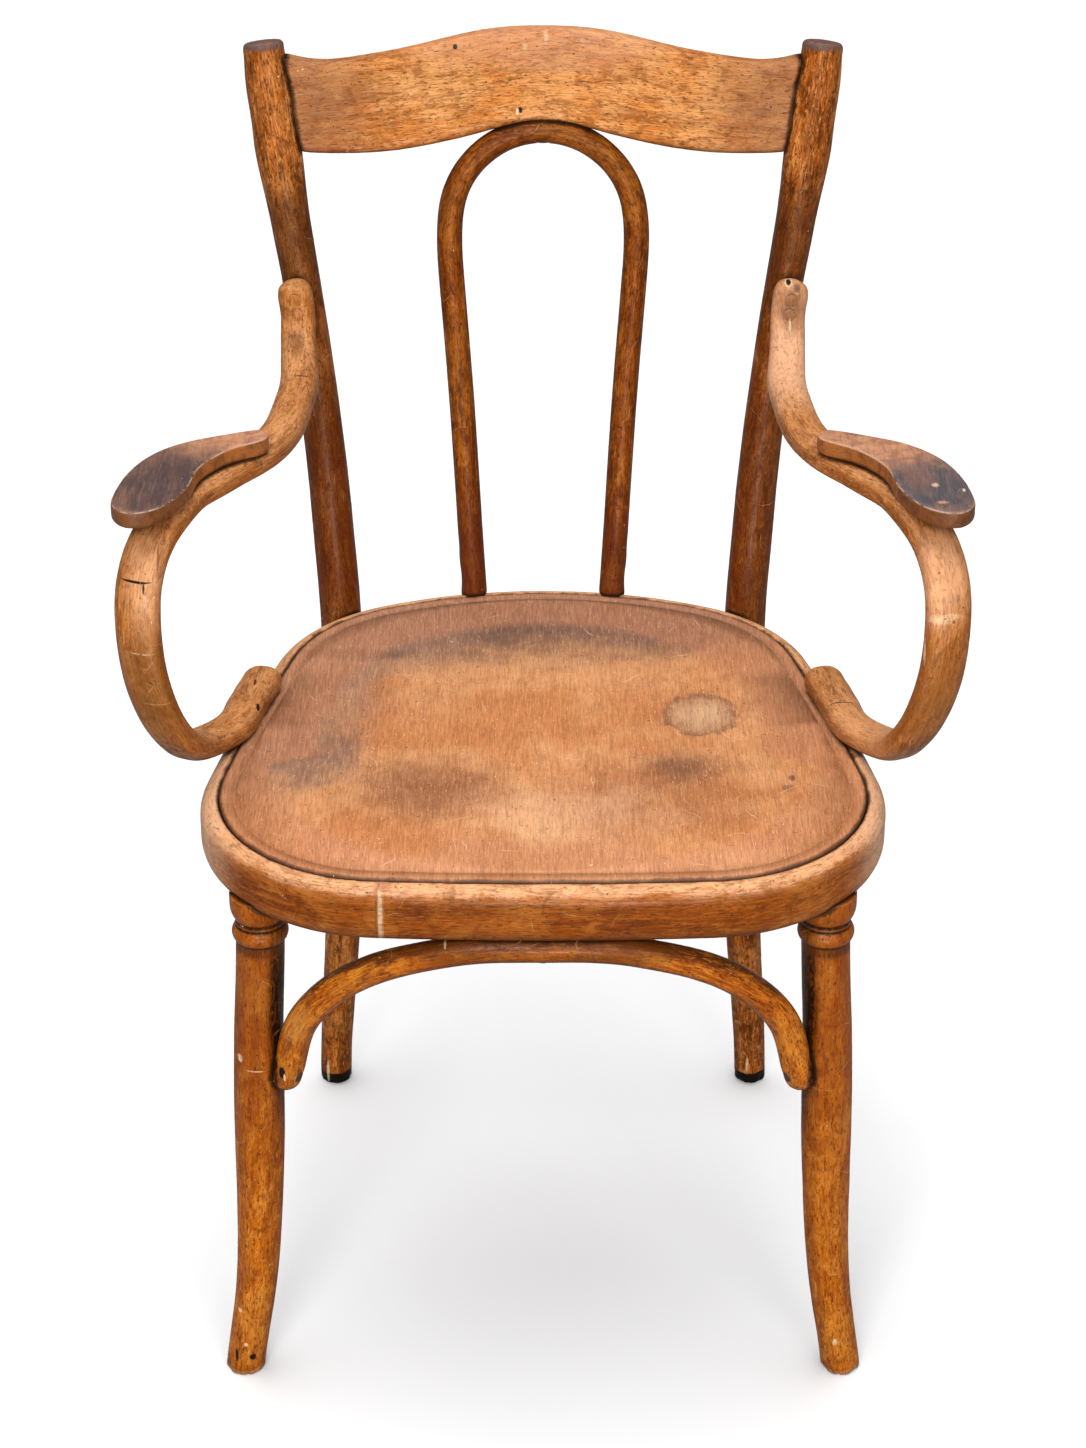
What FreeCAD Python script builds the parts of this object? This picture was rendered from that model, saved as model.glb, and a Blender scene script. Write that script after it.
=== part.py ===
"""Bentwood cafe armchair, built piece by piece in millimetres.

Front is -Y, up is +Z, and left and right are as seen from the front. The floor is z = 0. While the
pieces are made, y = 0 is the middle of the seat; at the end everything moves so that the origin lies
under the middle of the whole chair. The right side is made, and mirrored for the left.
"""
import FreeCAD, Part
import math
import os

V = FreeCAD.Vector
UP = V(0, 0, 1)
ACROSS = V(1, 0, 0)
BACKWARD = V(0, 1, 0)
ORIGIN = V(0, 0, 0)

# Seat: a bent ring with a thin dished panel let into its top
seat_width = 483.0
seat_depth = 458.0
seat_height = 457.0
frame_height = 45.5
frame_thickness = 36.0
frame_top_round = 12.0
frame_bottom_round = 16.0
rim_width = 13.0
front_corner_radius = 134.0
back_corner_radius = 133.0
# headings of the edge where the front, its corner, the side and the back corner end, in degrees
front_turn = 3.4
front_corner_turn = 99.4
side_turn = 104.7
back_corner_turn = 156.0

panel_thickness = 7.0
panel_gap = 0.8
panel_proud = 0.6
panel_edge_round = 2.2
panel_dish = 3.0
panel_dish_inset = 14.0
panel_line_inset = 9.5
panel_line_width = 1.4
panel_line_depth = 0.9

# Back posts: each one is also a back leg
post_top_height = 880.5
post_turn = 143.7
post_notch = 4.0
post_spread = 49.8
post_lean = 84.0
post_top_round = 3.8
back_foot_spread = 17.0
back_foot_back = 20.0
post_diameter = 31.6
# share of the height from the seat to the top, share of the spread, share of the diameter
post_upper_shares = (
    (0.0, 0.0, 1.0), (0.11, 0.065, 0.995), (0.19, 0.115, 0.985), (0.37, 0.263, 0.955), (0.48, 0.374, 0.925),
    (0.58, 0.49, 0.905), (0.66, 0.60, 0.93), (0.73, 0.695, 0.985), (0.79, 0.772, 1.085),
    (0.85, 0.84, 1.10), (0.92, 0.915, 1.065), (0.98, 0.98, 1.03), (1.0, 1.0, 1.0))
# share of the height from the seat down to the floor, share of the foot's spread, share of the diameter
post_lower_shares = (
    (0.0, 0.0, 1.0), (0.18, 0.05, 0.985), (0.42, 0.15, 0.95), (0.62, 0.34, 0.915), (0.74, 0.55, 0.885),
    (0.90, 0.88, 0.83), (1.0, 1.0, 0.80))
foot_round = 2.0

# Front legs: turned, then bent outwards at the foot
leg_inset_side = 45.0
leg_inset_front = 62.5
leg_foot_spread = 26.3
leg_foot_back = 6.0
leg_diameter = 36.5
# share of the height from the floor to the shaft's top, share of the spread, share of the diameter
leg_shares = (
    (0.0, 1.0, 0.785), (0.07, 0.86, 0.79), (0.17, 0.635, 0.81), (0.32, 0.42, 0.87), (0.46, 0.32, 0.94),
    (0.56, 0.27, 0.985), (0.66, 0.23, 0.99), (0.80, 0.16, 0.955), (0.92, 0.06, 0.935), (1.0, 0.0, 0.93))
collar_diameter = 41.0
collar_height = 13.0
neck_diameter = 31.5
fillet_diameter = 34.5
fillet_height = 3.0
bead_diameter = 39.6
bead_height = 12.0
bead_step = 1.0
# share of the way up the cup of the collar, share of the way out
cup_share = (0.42, 0.72)
leg_tenon_diameter = 20.0
leg_tenon_length = 26.0

# Crest rail between the post tops
crest_thickness = 18.0
crest_bow = 14.0
crest_depth = 66.5
crest_top_rise = 21.5
crest_under_rise = 21.0
crest_drop = 15.5
crest_edge_round = 5.0
# share of the half length, share of the rise of the top edge, share of the rise of the under edge
crest_shares = (
    (0.0, 1.0, 1.0), (0.115, 0.97, 0.90), (0.23, 0.86, 0.62), (0.375, 0.59, 0.31), (0.5, 0.335, 0.11),
    (0.6, 0.18, 0.02), (0.7, 0.06, 0.0), (0.8, 0.0, 0.03), (0.9, 0.12, 0.12), (1.0, 0.26, 0.24))
crest_tenon_height = 38.0
crest_tenon_thickness = 9.0
crest_tenon_reach = 6.0

# Back hoop under the crest rail
hoop_diameter = 19.5
hoop_radius = 70.3
hoop_foot_half = 53.3
hoop_seat = 2.0
hoop_let_in = 6.0
hoop_tenon_diameter = 9.0
hoop_tenon_length = 24.0
hoop_tenon_forward = 0.5
arch_steps = 4
# share of the height from the rim to the arch, share of the widening
hoop_shares = ((0.255, 0.26), (0.53, 0.53), (0.70, 0.735), (0.86, 0.94))

# Front brace, an arch under the seat
brace_diameter = 20.5
brace_haunch_diameter = 22.5
brace_end_height = 272.5
brace_end_in = 20.0
brace_end_front = 10.0
brace_bed = 16.5
brace_let_in = 1.2
# share of the half length, share of the rise, share of the way forward, share of the taper
brace_shares = (
    (0.97, 0.174, 0.08, 0.0), (0.937, 0.356, 0.216, 0.02), (0.866, 0.535, 0.38, 0.09), (0.758, 0.70, 0.57, 0.26),
    (0.64, 0.812, 0.70, 0.47), (0.455, 0.92, 0.865, 0.76), (0.234, 0.99, 0.97, 0.96))

# Arms: one bent rod each, from the post, under the pad, round in a curl and back onto the rim
armrest_height = 675.0
arm_width = 33.0
arm_thickness = 20.5
arm_end_width = 28.5
arm_tip_width = 26.0
arm_overhang = 35.0
arm_setback = 118.0
arm_curl = 90.0
arm_tip_height = 705.0
arm_leave_height = 691.0
arm_top_in = 2.5
arm_top_out = 3.8
arm_bend_forward = 59.0
arm_bend_in = 3.8
arm_bed = 1.0
arm_rise = 6.0
arm_let_in = 1.2
arm_end_inset = 7.5
arm_end_start = 10.0
arm_end_back = 56.0
arm_end_steps = 3
# how far the width of the curl and of the end on the rim is turned, in degrees
arm_curl_turn = 24.0
arm_end_turn = 17.0
# angle round the curl from its foot to its top, share of the way out from the rim, share of the widening
curl_shares = (
    (-76, 0.32, 0.49), (-62, 0.485, 0.69), (-46, 0.588, 0.83), (-30, 0.715, 0.93), (-14, 0.838, 0.985),
    (2, 0.936, 1.0), (20, 0.99, 1.0), (36, 0.99, 1.0), (52, 0.907, 1.0), (66, 0.76, 1.0), (78, 0.598, 1.0),
    (90, 0.446, 1.0))
# share of the way back from the curl's top to the bend, share of the way in, share of the narrowing
level_shares = (
    (0.11, 0.20, 0.28), (0.22, 0.41, 0.40), (0.32, 0.61, 0.50), (0.44, 0.78, 0.62), (0.60, 0.905, 0.80),
    (0.80, 0.97, 0.95))
# share of the bend forward, share of the drop, share of the widening
bend_shares = ((0.16, 0.50, 0.04), (0.34, 0.73, 0.10), (0.576, 0.866, 0.20), (1.0, 1.0, 0.36))

# Arm pads, flat shaped boards
pad_thickness = 13.0
pad_width = 51.0
pad_back_reach = 58.0
pad_back_in = 11.0
pad_front_out = 4.0
pad_front_back = 18.0
pad_top_round = 2.2
pad_under_round = 3.5
# share of the pad's length from its back end, share of its width, inwards positive
pad_shares = (
    (-0.010, -0.04), (0.030, 0.115), (0.20, -0.02), (0.34, -0.085), (0.47, -0.045), (0.62, 0.155),
    (0.80, 0.295), (0.94, 0.25), (1.02, 0.0), (0.99, -0.29), (0.90, -0.49), (0.72, -0.735),
    (0.50, -0.867), (0.30, -0.76), (0.12, -0.44), (0.015, -0.215))

# Fasteners
bolt_diameter = 6.0
bolt_head_diameter = 16.0
bolt_head_height = 3.6
bolt_spare = 4.0
washer_diameter = 18.0
washer_thickness = 1.5
washer_sink = 1.0
nut_width = 10.0
nut_thickness = 5.0
screw_diameter = 4.5
screw_head_diameter = 8.5
screw_head_height = 3.4
screw_lip = 0.5
screw_point = 6.0
screw_sink = 0.5
slot_width = 1.2
slot_depth = 1.1
# shares of the thickness of the second piece that a screw goes into
screw_bite_share = 0.7
crest_bite_share = 0.4
# places of the two arm screws from where the arm leaves the post to its tip
arm_screw_shares = (0.05, 0.8)
# places of the screws under the arm's end, and of those under the pad
arm_seat_shares = (0.3, 0.75)
pad_screw_shares = (0.2, 0.8)
brace_screw_rise = 2.0
brad_diameter = 1.6
brad_head_diameter = 2.6
brad_head_height = 0.8
brad_length = 14.0
brad_inset = 4.5
brad_sink = 0.2
brads_per_side = 7
pin_diameter = 4.0
pin_inset = 3.0
fit_gap = 0.1
overrun = 5.0

# How the sections of a rod are drawn
quarter_steps = 3
rod_pitch = 14.0
post_pitch = 24.0
round_exponent = 1.0
flat_exponent = 0.82
same_place = 1e-6
# share of a rounded end's length, share of the section's size
end_shares = ((0.45, 0.89), (0.78, 0.62), (0.95, 0.30), (1.0, 0.08))


def between(start, end, share):
    return start + (end - start) * share


def read_shares(table, share):
    """Row of a table of shares at a share that may lie between two of its rows."""
    for low, high in zip(table, table[1:]):
        if low[0] <= share <= high[0]:
            step = (share - low[0]) / (high[0] - low[0])
            return [between(a, b, step) for a, b in zip(low, high)]
    raise ValueError("the share lies outside its table")


def largest(shape):
    return max(shape.Solids, key=lambda solid: solid.Volume)


def mirrored(shape):
    return shape.mirror(ORIGIN, ACROSS)


def both_sides(shapes):
    """The right side's shapes and their mirror images, as one group of separate solids."""
    return Part.makeCompound([solid for shape in shapes for solid in (shape.Solids + mirrored(shape).Solids)])


def outward_solid(shape):
    return shape if shape.Volume > 0 else shape.reversed()


def smooth_line(points):
    line = Part.BSplineCurve()
    line.interpolate(points)
    return line


def lines(*points):
    return [Part.LineSegment(a, b).toShape() for a, b in zip(points, points[1:])]


def turned(edges):
    """Solid turned about the Z axis from edges that close a loop beside it."""
    return outward_solid(Part.Face(Part.Wire(edges)).revolve(ORIGIN, UP, 360))


def placed(shape, point, direction):
    """The shape, made along Z from the origin, moved to the point and laid along the direction."""
    shape = shape.copy()
    shape.Placement = FreeCAD.Placement(point, FreeCAD.Rotation(UP, direction))
    return shape


def level_direction(angle):
    return V(math.cos(math.radians(angle)), math.sin(math.radians(angle)), 0)


def power(value, exponent):
    return math.copysign(abs(value) ** exponent, value) if abs(value) > same_place else 0.0


def section(centre, along, side, width, depth, exponent):
    """Closed oval round centre in four quarters, square to along, with its width towards side."""
    across = (side - along * side.dot(along)).normalize()
    other = along.cross(across)
    quarters = []
    for quarter in range(4):
        points = []
        for step in range(quarter_steps + 1):
            angle = math.pi / 2 * (quarter + step / quarter_steps)
            points.append(centre + across * (power(math.cos(angle), exponent) * width / 2)
                          + other * (power(math.sin(angle), exponent) * depth / 2))
        leave = (other, -across, -other, across)[quarter]
        arrive = (-across, -other, across, other)[quarter]
        curve = Part.BSplineCurve()
        curve.interpolate(Points=points, InitialTangent=leave, FinalTangent=arrive)
        quarters.append(curve.toShape())
    return Part.Wire(quarters)


def rod(stations, start_round=0.0, end_round=0.0, level=False, square_end=False, exponent=round_exponent,
        pitch=rod_pitch):
    """Solid rod through stations of (centre, width, depth, side), with its ends cut flat or rounded.

    A level rod has level sections. With square_end its far end is cut square to its line all the same.
    """
    line = smooth_line([station[0] for station in stations])
    places = [line.parameter(station[0]) for station in stations]
    count = max(len(stations), math.ceil(line.length() / pitch))
    rings = []
    for point in line.discretize(Number=count + 1):
        place = min(max(line.parameter(point), places[0]), places[-1])
        index = max(i for i, low in enumerate(places[:-1]) if low <= place)
        share = (place - places[index]) / (places[index + 1] - places[index])
        near, far = stations[index], stations[index + 1]
        along = V(UP) if level else V(line.tangent(place)[0])
        rings.append((point, along, between(near[3], far[3], share), between(near[1], far[1], share),
                      between(near[2], far[2], share)))
    if square_end:
        rings[-1] = (rings[-1][0], V(line.tangent(places[-1])[0]), *rings[-1][2:])
    first, last = rings[0], rings[-1]
    for reach, size in end_shares:
        if start_round:
            tip = first[0] - first[1] * (start_round * reach)
            rings.insert(0, (tip, first[1], first[2], first[3] * size, first[4] * size))
        if end_round:
            tip = last[0] + last[1] * (end_round * reach)
            rings.append((tip, last[1], last[2], last[3] * size, last[4] * size))
    return outward_solid(Part.makeLoft([section(*ring, exponent) for ring in rings], True, False))


def prism(wire, height):
    return Part.Face(wire).extrude(UP * height)


# The seat's outer edge turns from heading 0 at the middle of the front to 180 at the middle of the back
def seat_edge():
    """Arcs of the right half as (centre, radius, start, end), from named radii and the overall sizes."""
    turns = [math.radians(turn) for turn in
             (0.0, front_turn, front_corner_turn, side_turn, back_corner_turn, 180.0)]
    sines = [math.sin(turn) for turn in turns]
    cosines = [math.cos(turn) for turn in turns]
    front_radius = (seat_width / 2 - front_corner_radius * (1 - sines[1])) / sines[1]
    # What the side and the back still have to cover, in x and in y
    left_x = -seat_width / 2 - front_corner_radius * (sines[2] - 1) - back_corner_radius * (sines[4] - sines[3])
    left_y = (seat_depth - front_radius * (1 - cosines[1]) - front_corner_radius * (cosines[1] - cosines[2])
              - back_corner_radius * (cosines[3] - cosines[4]))
    side = (sines[3] - sines[2], cosines[2] - cosines[3])
    back = (-sines[4], cosines[4] + 1)
    area = side[0] * back[1] - side[1] * back[0]
    side_radius = (left_x * back[1] - left_y * back[0]) / area
    back_radius = (side[0] * left_y - side[1] * left_x) / area
    arcs = []
    point = V(0, -seat_depth / 2, 0)
    radii = (front_radius, front_corner_radius, side_radius, back_corner_radius, back_radius)
    for radius, start, end in zip(radii, turns, turns[1:]):
        centre = point - V(math.sin(start), -math.cos(start), 0) * radius
        arcs.append((centre, radius, start, end))
        point = centre + V(math.sin(end), -math.cos(end), 0) * radius
    return arcs


edge_arcs = seat_edge()


def edge_point(turn_degrees, inset=0.0):
    """Point on the right half of the seat's edge, and the direction that faces outwards there."""
    turn = math.radians(turn_degrees)
    outward = V(math.sin(turn), -math.cos(turn), 0)
    for centre, radius, start, end in edge_arcs:
        if start <= turn <= end:
            return centre + outward * (radius - inset), outward
    raise ValueError("the edge turns from 0 to 180 degrees")


def rim_x(y, inset):
    """How far out the right half of the edge lies at y, moved in by inset."""
    for centre, radius, start, end in edge_arcs:
        inner = radius - inset
        if centre.y - inner * math.cos(start) <= y <= centre.y - inner * math.cos(end):
            return centre.x + math.sqrt(inner ** 2 - (y - centre.y) ** 2)
    raise ValueError("y lies outside the seat")


def rim_y(x, inset):
    """How far back the rear edge lies at x, moved in by inset."""
    for centre, radius, start, end in reversed(edge_arcs):
        inner = radius - inset
        if x <= centre.x + inner * math.sin(start):
            return centre.y + math.sqrt(inner ** 2 - (x - centre.x) ** 2)
    raise ValueError("x lies outside the seat")


def edge_wire(inset, z):
    """The seat's outline moved in by inset, at height z, as arcs that join smoothly."""
    arcs = []
    for centre, radius, start, end in edge_arcs:
        for side in (1, -1):
            points = []
            for turn in (start, (start + end) / 2, end):
                point = centre + V(math.sin(turn), -math.cos(turn), 0) * (radius - inset)
                points.append(V(side * point.x, point.y, z))
            arcs.append(Part.Arc(*points).toShape())
    return Part.Wire(Part.__sortEdges__(arcs))


def edges_at(shape, z):
    return [edge for edge in shape.Edges
            if all(abs(vertex.Z - z) < fit_gap for vertex in edge.Vertexes)]


frame_bottom = seat_height - frame_height
panel_top = seat_height + panel_proud
rabbet_floor = panel_top - panel_thickness


def make_seat_frame():
    block = prism(edge_wire(0.0, frame_bottom), frame_height)
    block = block.makeFillet(frame_bottom_round, edges_at(block, frame_bottom))
    block = block.makeFillet(frame_top_round, edges_at(block, seat_height))
    inside = prism(edge_wire(frame_thickness, frame_bottom - overrun), frame_height + 2 * overrun)
    rabbet = prism(edge_wire(rim_width, rabbet_floor), panel_thickness + overrun)
    return block.cut(inside).cut(rabbet)


def make_seat_panel():
    inset = rim_width + panel_gap
    board = prism(edge_wire(inset, rabbet_floor), panel_thickness)
    board = board.makeFillet(panel_edge_round, edges_at(board, panel_top))
    # The dish is a shallow bowl of even thickness, so the board bulges below where it is hollow above
    half = seat_depth / 2 - inset - panel_dish_inset
    bowl_radius = (half ** 2 + panel_dish ** 2) / (2 * panel_dish)
    bowl_centre = V(0, 0, panel_top - panel_dish + bowl_radius)
    under = Part.makeSphere(bowl_radius + panel_thickness, bowl_centre)
    belly = prism(edge_wire(frame_thickness + panel_gap, rabbet_floor - panel_dish), panel_dish).common(under)
    board = board.fuse(belly).cut(Part.makeSphere(bowl_radius, bowl_centre))
    line_inset = inset + panel_line_inset
    line_floor = panel_top - panel_line_depth
    groove = prism(edge_wire(line_inset, line_floor), panel_line_depth + overrun)
    island = prism(edge_wire(line_inset + panel_line_width, line_floor), panel_line_depth + overrun)
    return largest(board.cut(groove.cut(island)))


# Back posts
post_bearing, post_outward = edge_point(post_turn)
post_at_seat = post_bearing + post_outward * (post_diameter / 2 - post_notch)
back_rise = post_top_height - seat_height


def post_at(z):
    """Centre and diameter of the right post at height z."""
    if z >= seat_height:
        share, out, size = read_shares(post_upper_shares, (z - seat_height) / back_rise)
        offset = V(post_spread * out, post_lean * share, z)
    else:
        share, out, size = read_shares(post_lower_shares, (seat_height - z) / seat_height)
        offset = V(back_foot_spread * out, back_foot_back * share, z)
    return post_at_seat + offset, post_diameter * size


def make_back_post():
    heights = [seat_height * (1 - row[0]) for row in reversed(post_lower_shares[1:])]
    heights += [seat_height + back_rise * row[0] for row in post_upper_shares]
    stations = [(centre, size, size, ACROSS) for centre, size in map(post_at, heights)]
    post = rod(stations, level=True, square_end=True, pitch=post_pitch)
    top = max(post.Faces, key=lambda face: face.CenterOfMass.z)
    post = post.makeFillet(post_top_round, top.Edges)
    return post.makeFillet(foot_round, edges_at(post, 0.0))


# Front legs
leg_x = seat_width / 2 - leg_inset_side
leg_y = leg_inset_front - seat_depth / 2
neck_z = frame_bottom - collar_height
bead_top = neck_z - fillet_height
shaft_top = bead_top - bead_height


def leg_at(z):
    """Centre and diameter of the right front leg's shaft at height z."""
    _, out, size = read_shares(leg_shares, z / shaft_top)
    return V(leg_x + leg_foot_spread * out, leg_y + leg_foot_back * out, z), leg_diameter * size


def make_front_leg():
    """The bent shaft, with a bead, a fillet and a collar turned about its top."""
    stations = [(centre, size, size, ACROSS) for centre, size in
                (leg_at(shaft_top * row[0]) for row in leg_shares)]
    # The shaft ends inside the bead, which stands a step wider than it
    top, top_size, _, _ = stations[-1]
    stations[-1] = (top + UP * (bead_height / 2), top_size, top_size, ACROSS)
    shaft = rod(stations, level=True)
    shaft = shaft.makeFillet(foot_round, edges_at(shaft, 0.0))
    neck = neck_diameter / 2
    collar = collar_diameter / 2
    collar_top = frame_bottom + frame_bottom_round / 2
    bead_start = V(top_size / 2 + bead_step, 0, shaft_top)
    cup_side = V(between(neck, collar, cup_share[1]), 0, between(neck_z, frame_bottom, cup_share[0]))
    edges = lines(V(0, 0, shaft_top), bead_start)
    for middle, end in (
            (V(bead_diameter / 2, 0, (shaft_top + bead_top) / 2), V(neck, 0, bead_top)),
            (V(fillet_diameter / 2, 0, (bead_top + neck_z) / 2), V(neck, 0, neck_z)),
            (cup_side, V(collar, 0, frame_bottom))):
        edges.append(Part.Arc(edges[-1].Vertexes[-1].Point, middle, end).toShape())
    edges += lines(V(collar, 0, frame_bottom), V(collar, 0, collar_top), V(0, 0, collar_top), V(0, 0, shaft_top))
    head = turned(edges)
    head.translate(V(leg_x, leg_y, 0))
    return shaft.fuse(head)


def leg_tenon(gap=0.0):
    return Part.makeCylinder(leg_tenon_diameter / 2 + gap, leg_tenon_length + gap, V(leg_x, leg_y, frame_bottom))


# Crest rail
crest_mid_z = post_top_height - crest_drop - crest_depth / 2
crest_end, _ = post_at(crest_mid_z)
crest_half = crest_end.x
crest_slope = post_lean / back_rise


def crest_y(x, z):
    return crest_end.y + crest_bow * (1 - (x / crest_half) ** 2) + crest_slope * (z - crest_mid_z)


def crest_section(x):
    """Upright section of the rail at x: a board with rounded edges that leans with the posts."""
    _, top_rise, under_rise = read_shares(crest_shares, abs(x) / crest_half)
    under = crest_mid_z - crest_depth / 2 + crest_under_rise * under_rise
    top = crest_mid_z + crest_depth / 2 + crest_top_rise * top_rise
    mid_z, half_z = (under + top) / 2, (top - under) / 2
    half_y, r = crest_thickness / 2, crest_edge_round
    quarters = []
    for quarter, (to_y, to_z) in enumerate(((-1, -1), (1, -1), (1, 1), (-1, 1))):
        offsets = [(half_y, 0.0), (half_y, (half_z - r) / 2)]
        for step in range(quarter_steps + 1):
            angle = math.pi / 2 * step / quarter_steps
            offsets.append((half_y - r + r * math.cos(angle), half_z - r + r * math.sin(angle)))
        offsets.append((0.0, half_z))
        if quarter % 2:
            offsets.reverse()
        points = []
        for out, rise in offsets:
            z = mid_z + to_z * rise
            points.append(V(x, crest_y(x, z) + to_y * out, z))
        curve = Part.BSplineCurve()
        curve.interpolate(Points=points)
        quarters.append(curve.toShape())
    return Part.Wire(quarters)


def make_crest_bar():
    places = [row[0] for row in crest_shares]
    places = [-share for share in reversed(places[1:])] + places
    return outward_solid(Part.makeLoft([crest_section(share * crest_half) for share in places], True, False))


def crest_tenon(gap=0.0):
    """Bar that runs from inside the right end of the rail into the right post."""
    half_h = crest_tenon_height / 2 + gap
    half_t = crest_tenon_thickness / 2 + gap
    inner = crest_half - post_diameter
    outer = crest_half + crest_tenon_reach + gap
    mid_y = crest_y(crest_half, crest_mid_z)
    corners = []
    for t, h in ((-half_t, -half_h), (half_t, -half_h), (half_t, half_h), (-half_t, half_h)):
        corners.append(V(inner, mid_y + t + crest_slope * h, crest_mid_z + h))
    return Part.Face(Part.Wire(lines(*corners, corners[0]))).extrude(ACROSS * (outer - inner))


# Back hoop
hoop_r = hoop_diameter / 2
hoop_foot_y = rim_y(hoop_foot_half, rim_width / 2)
arch_z = crest_mid_z - crest_depth / 2 + crest_under_rise + hoop_seat - hoop_r - hoop_radius
arch_top_z = arch_z + hoop_radius
hoop_slope = (crest_y(0.0, arch_top_z) - hoop_foot_y) / (arch_top_z - seat_height)
hoop_up = V(0, hoop_slope, 1).normalize()


def hoop_point(x, z):
    return V(x, hoop_foot_y + hoop_slope * (z - seat_height), z)


def make_back_hoop():
    foot_share = -hoop_let_in / (arch_z - seat_height)
    half = []
    for share, out in ((foot_share, foot_share),) + hoop_shares:
        half.append((between(hoop_foot_half, hoop_radius, out), between(seat_height, arch_z, share)))
    for step in range(arch_steps):
        angle = math.pi / 2 * step / arch_steps
        half.append((hoop_radius * math.cos(angle), arch_z + hoop_radius * math.sin(angle)))
    path = [(-x, z) for x, z in half] + [(0.0, arch_top_z)] + list(reversed(half))
    normal = hoop_up.cross(ACROSS)
    return rod([(hoop_point(x, z), hoop_diameter, hoop_diameter, normal) for x, z in path])


def hoop_tenon(gap=0.0):
    """Right foot's tenon, which starts inside the hoop and stands a little forward in the rim."""
    start = hoop_point(hoop_foot_half, seat_height + hoop_r) - BACKWARD * hoop_tenon_forward
    length = hoop_r + hoop_tenon_length + gap
    return Part.makeCylinder(hoop_tenon_diameter / 2 + gap, length, start, -hoop_up)


# Front brace
brace_leg, brace_leg_size = leg_at(brace_end_height)
brace_end = brace_leg - V(brace_end_in, brace_end_front, 0)


def under_frame(inset):
    """Height of the ring's rounded underside at an inset from its outer edge."""
    hollow = max(frame_bottom_round - inset, 0.0)
    return frame_bottom + frame_bottom_round - math.sqrt(frame_bottom_round ** 2 - hollow ** 2)


brace_middle = V(0, brace_bed - seat_depth / 2, under_frame(brace_bed) + brace_let_in - brace_diameter / 2)


def make_front_brace():
    half = [(brace_end, brace_haunch_diameter)]
    for out, rise, forward, taper in brace_shares:
        point = V(brace_end.x * out, between(brace_end.y, brace_middle.y, forward),
                  between(brace_end.z, brace_middle.z, rise))
        half.append((point, between(brace_haunch_diameter, brace_diameter, taper)))
    path = half + [(brace_middle, brace_diameter)] + [(V(-p.x, p.y, p.z), d) for p, d in reversed(half)]
    end_round = brace_haunch_diameter / 2
    return rod([(p, d, d, BACKWARD) for p, d in path], end_round, end_round)


# Arms
arm_level = armrest_height - pad_thickness - arm_thickness / 2 + arm_bed
arm_foot_level = seat_height + arm_thickness / 2 - arm_let_in
curl_mid_y = arm_setback - seat_depth / 2 + arm_curl
curl_mid_z = (arm_level + arm_foot_level) / 2
curl_half_z = (arm_level - arm_foot_level) / 2
curl_in_x = rim_x(curl_mid_y, arm_end_inset)
curl_out_x = seat_width / 2 + arm_overhang


def arm_on_post(z):
    """Centre of the right arm where it lies against the front of the post."""
    centre, size = post_at(z)
    return centre + V(arm_top_out, arm_top_in - size / 2 - arm_thickness / 2, 0)


def arm_on_rim(share):
    """Centre of the right arm along its end on the rim."""
    y = between(curl_mid_y + arm_end_start, arm_end_back, share)
    return V(rim_x(y, arm_end_inset), y, arm_foot_level)


def arm_stations():
    """Right arm from its tip on the post to its end on the rim: (centre, width, thickness, side)."""
    curl_side = level_direction(arm_curl_turn)
    end_side = level_direction(arm_end_turn)
    leave = arm_on_post(arm_leave_height)
    bend = V(leave.x - arm_bend_in, leave.y - arm_bend_forward, arm_level + arm_rise)
    stations = [(arm_on_post(arm_tip_height), arm_tip_width, ACROSS), (leave, arm_tip_width, ACROSS)]
    for forward, drop, widen in bend_shares:
        point = V(between(leave.x, bend.x, forward), between(leave.y, bend.y, forward), between(leave.z, bend.z, drop))
        stations.append((point, between(arm_tip_width, arm_width, widen), ACROSS))
    top_x = between(curl_in_x, curl_out_x, curl_shares[-1][1])
    for back, inward, narrow in reversed(level_shares):
        point = V(between(top_x, bend.x, inward), between(curl_mid_y, bend.y, back), arm_level + arm_rise * back ** 2)
        stations.append((point, between(arm_width, arm_end_width, narrow), between(curl_side, ACROSS, back)))
    for degrees, out, widen in reversed(curl_shares):
        angle = math.radians(degrees)
        point = V(between(curl_in_x, curl_out_x, out), curl_mid_y - arm_curl * math.cos(angle),
                  curl_mid_z + curl_half_z * math.sin(angle))
        stations.append((point, between(arm_end_width, arm_width, widen), curl_side))
    for step in range(arm_end_steps + 1):
        stations.append((arm_on_rim(step / arm_end_steps), arm_end_width, end_side))
    return [(centre, width, arm_thickness, side) for centre, width, side in stations]


def make_arm():
    return rod(arm_stations(), arm_thickness / 2, arm_thickness / 2, exponent=flat_exponent)


def arm_under_pad(y):
    """Centre of the right arm's upper stretch at y."""
    centres = [station[0] for station in arm_stations() if station[0].z > curl_mid_z]
    for far, near in zip(centres, centres[1:]):
        if near.y <= y <= far.y:
            return between(near, far, (y - near.y) / (far.y - near.y))
    raise ValueError("the arm doesn't reach y")


# Arm pads
pad_back_y = curl_mid_y + pad_back_reach
pad_under = armrest_height - pad_thickness


def pad_blank():
    """The pad before its edges are rounded, which also marks the flat that it beds on."""
    back_end = V(arm_under_pad(pad_back_y).x - pad_back_in, pad_back_y, pad_under)
    front_end = V(curl_out_x + pad_front_out, curl_mid_y - arm_curl + pad_front_back, pad_under)
    along = front_end - back_end
    inward = V(along.y, -along.x, 0).normalize() * pad_width
    outline = Part.BSplineCurve()
    outline.interpolate(Points=[back_end + along * a + inward * b for a, b in pad_shares], PeriodicFlag=True)
    return prism(Part.Wire([outline.toShape()]), pad_thickness)


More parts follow.
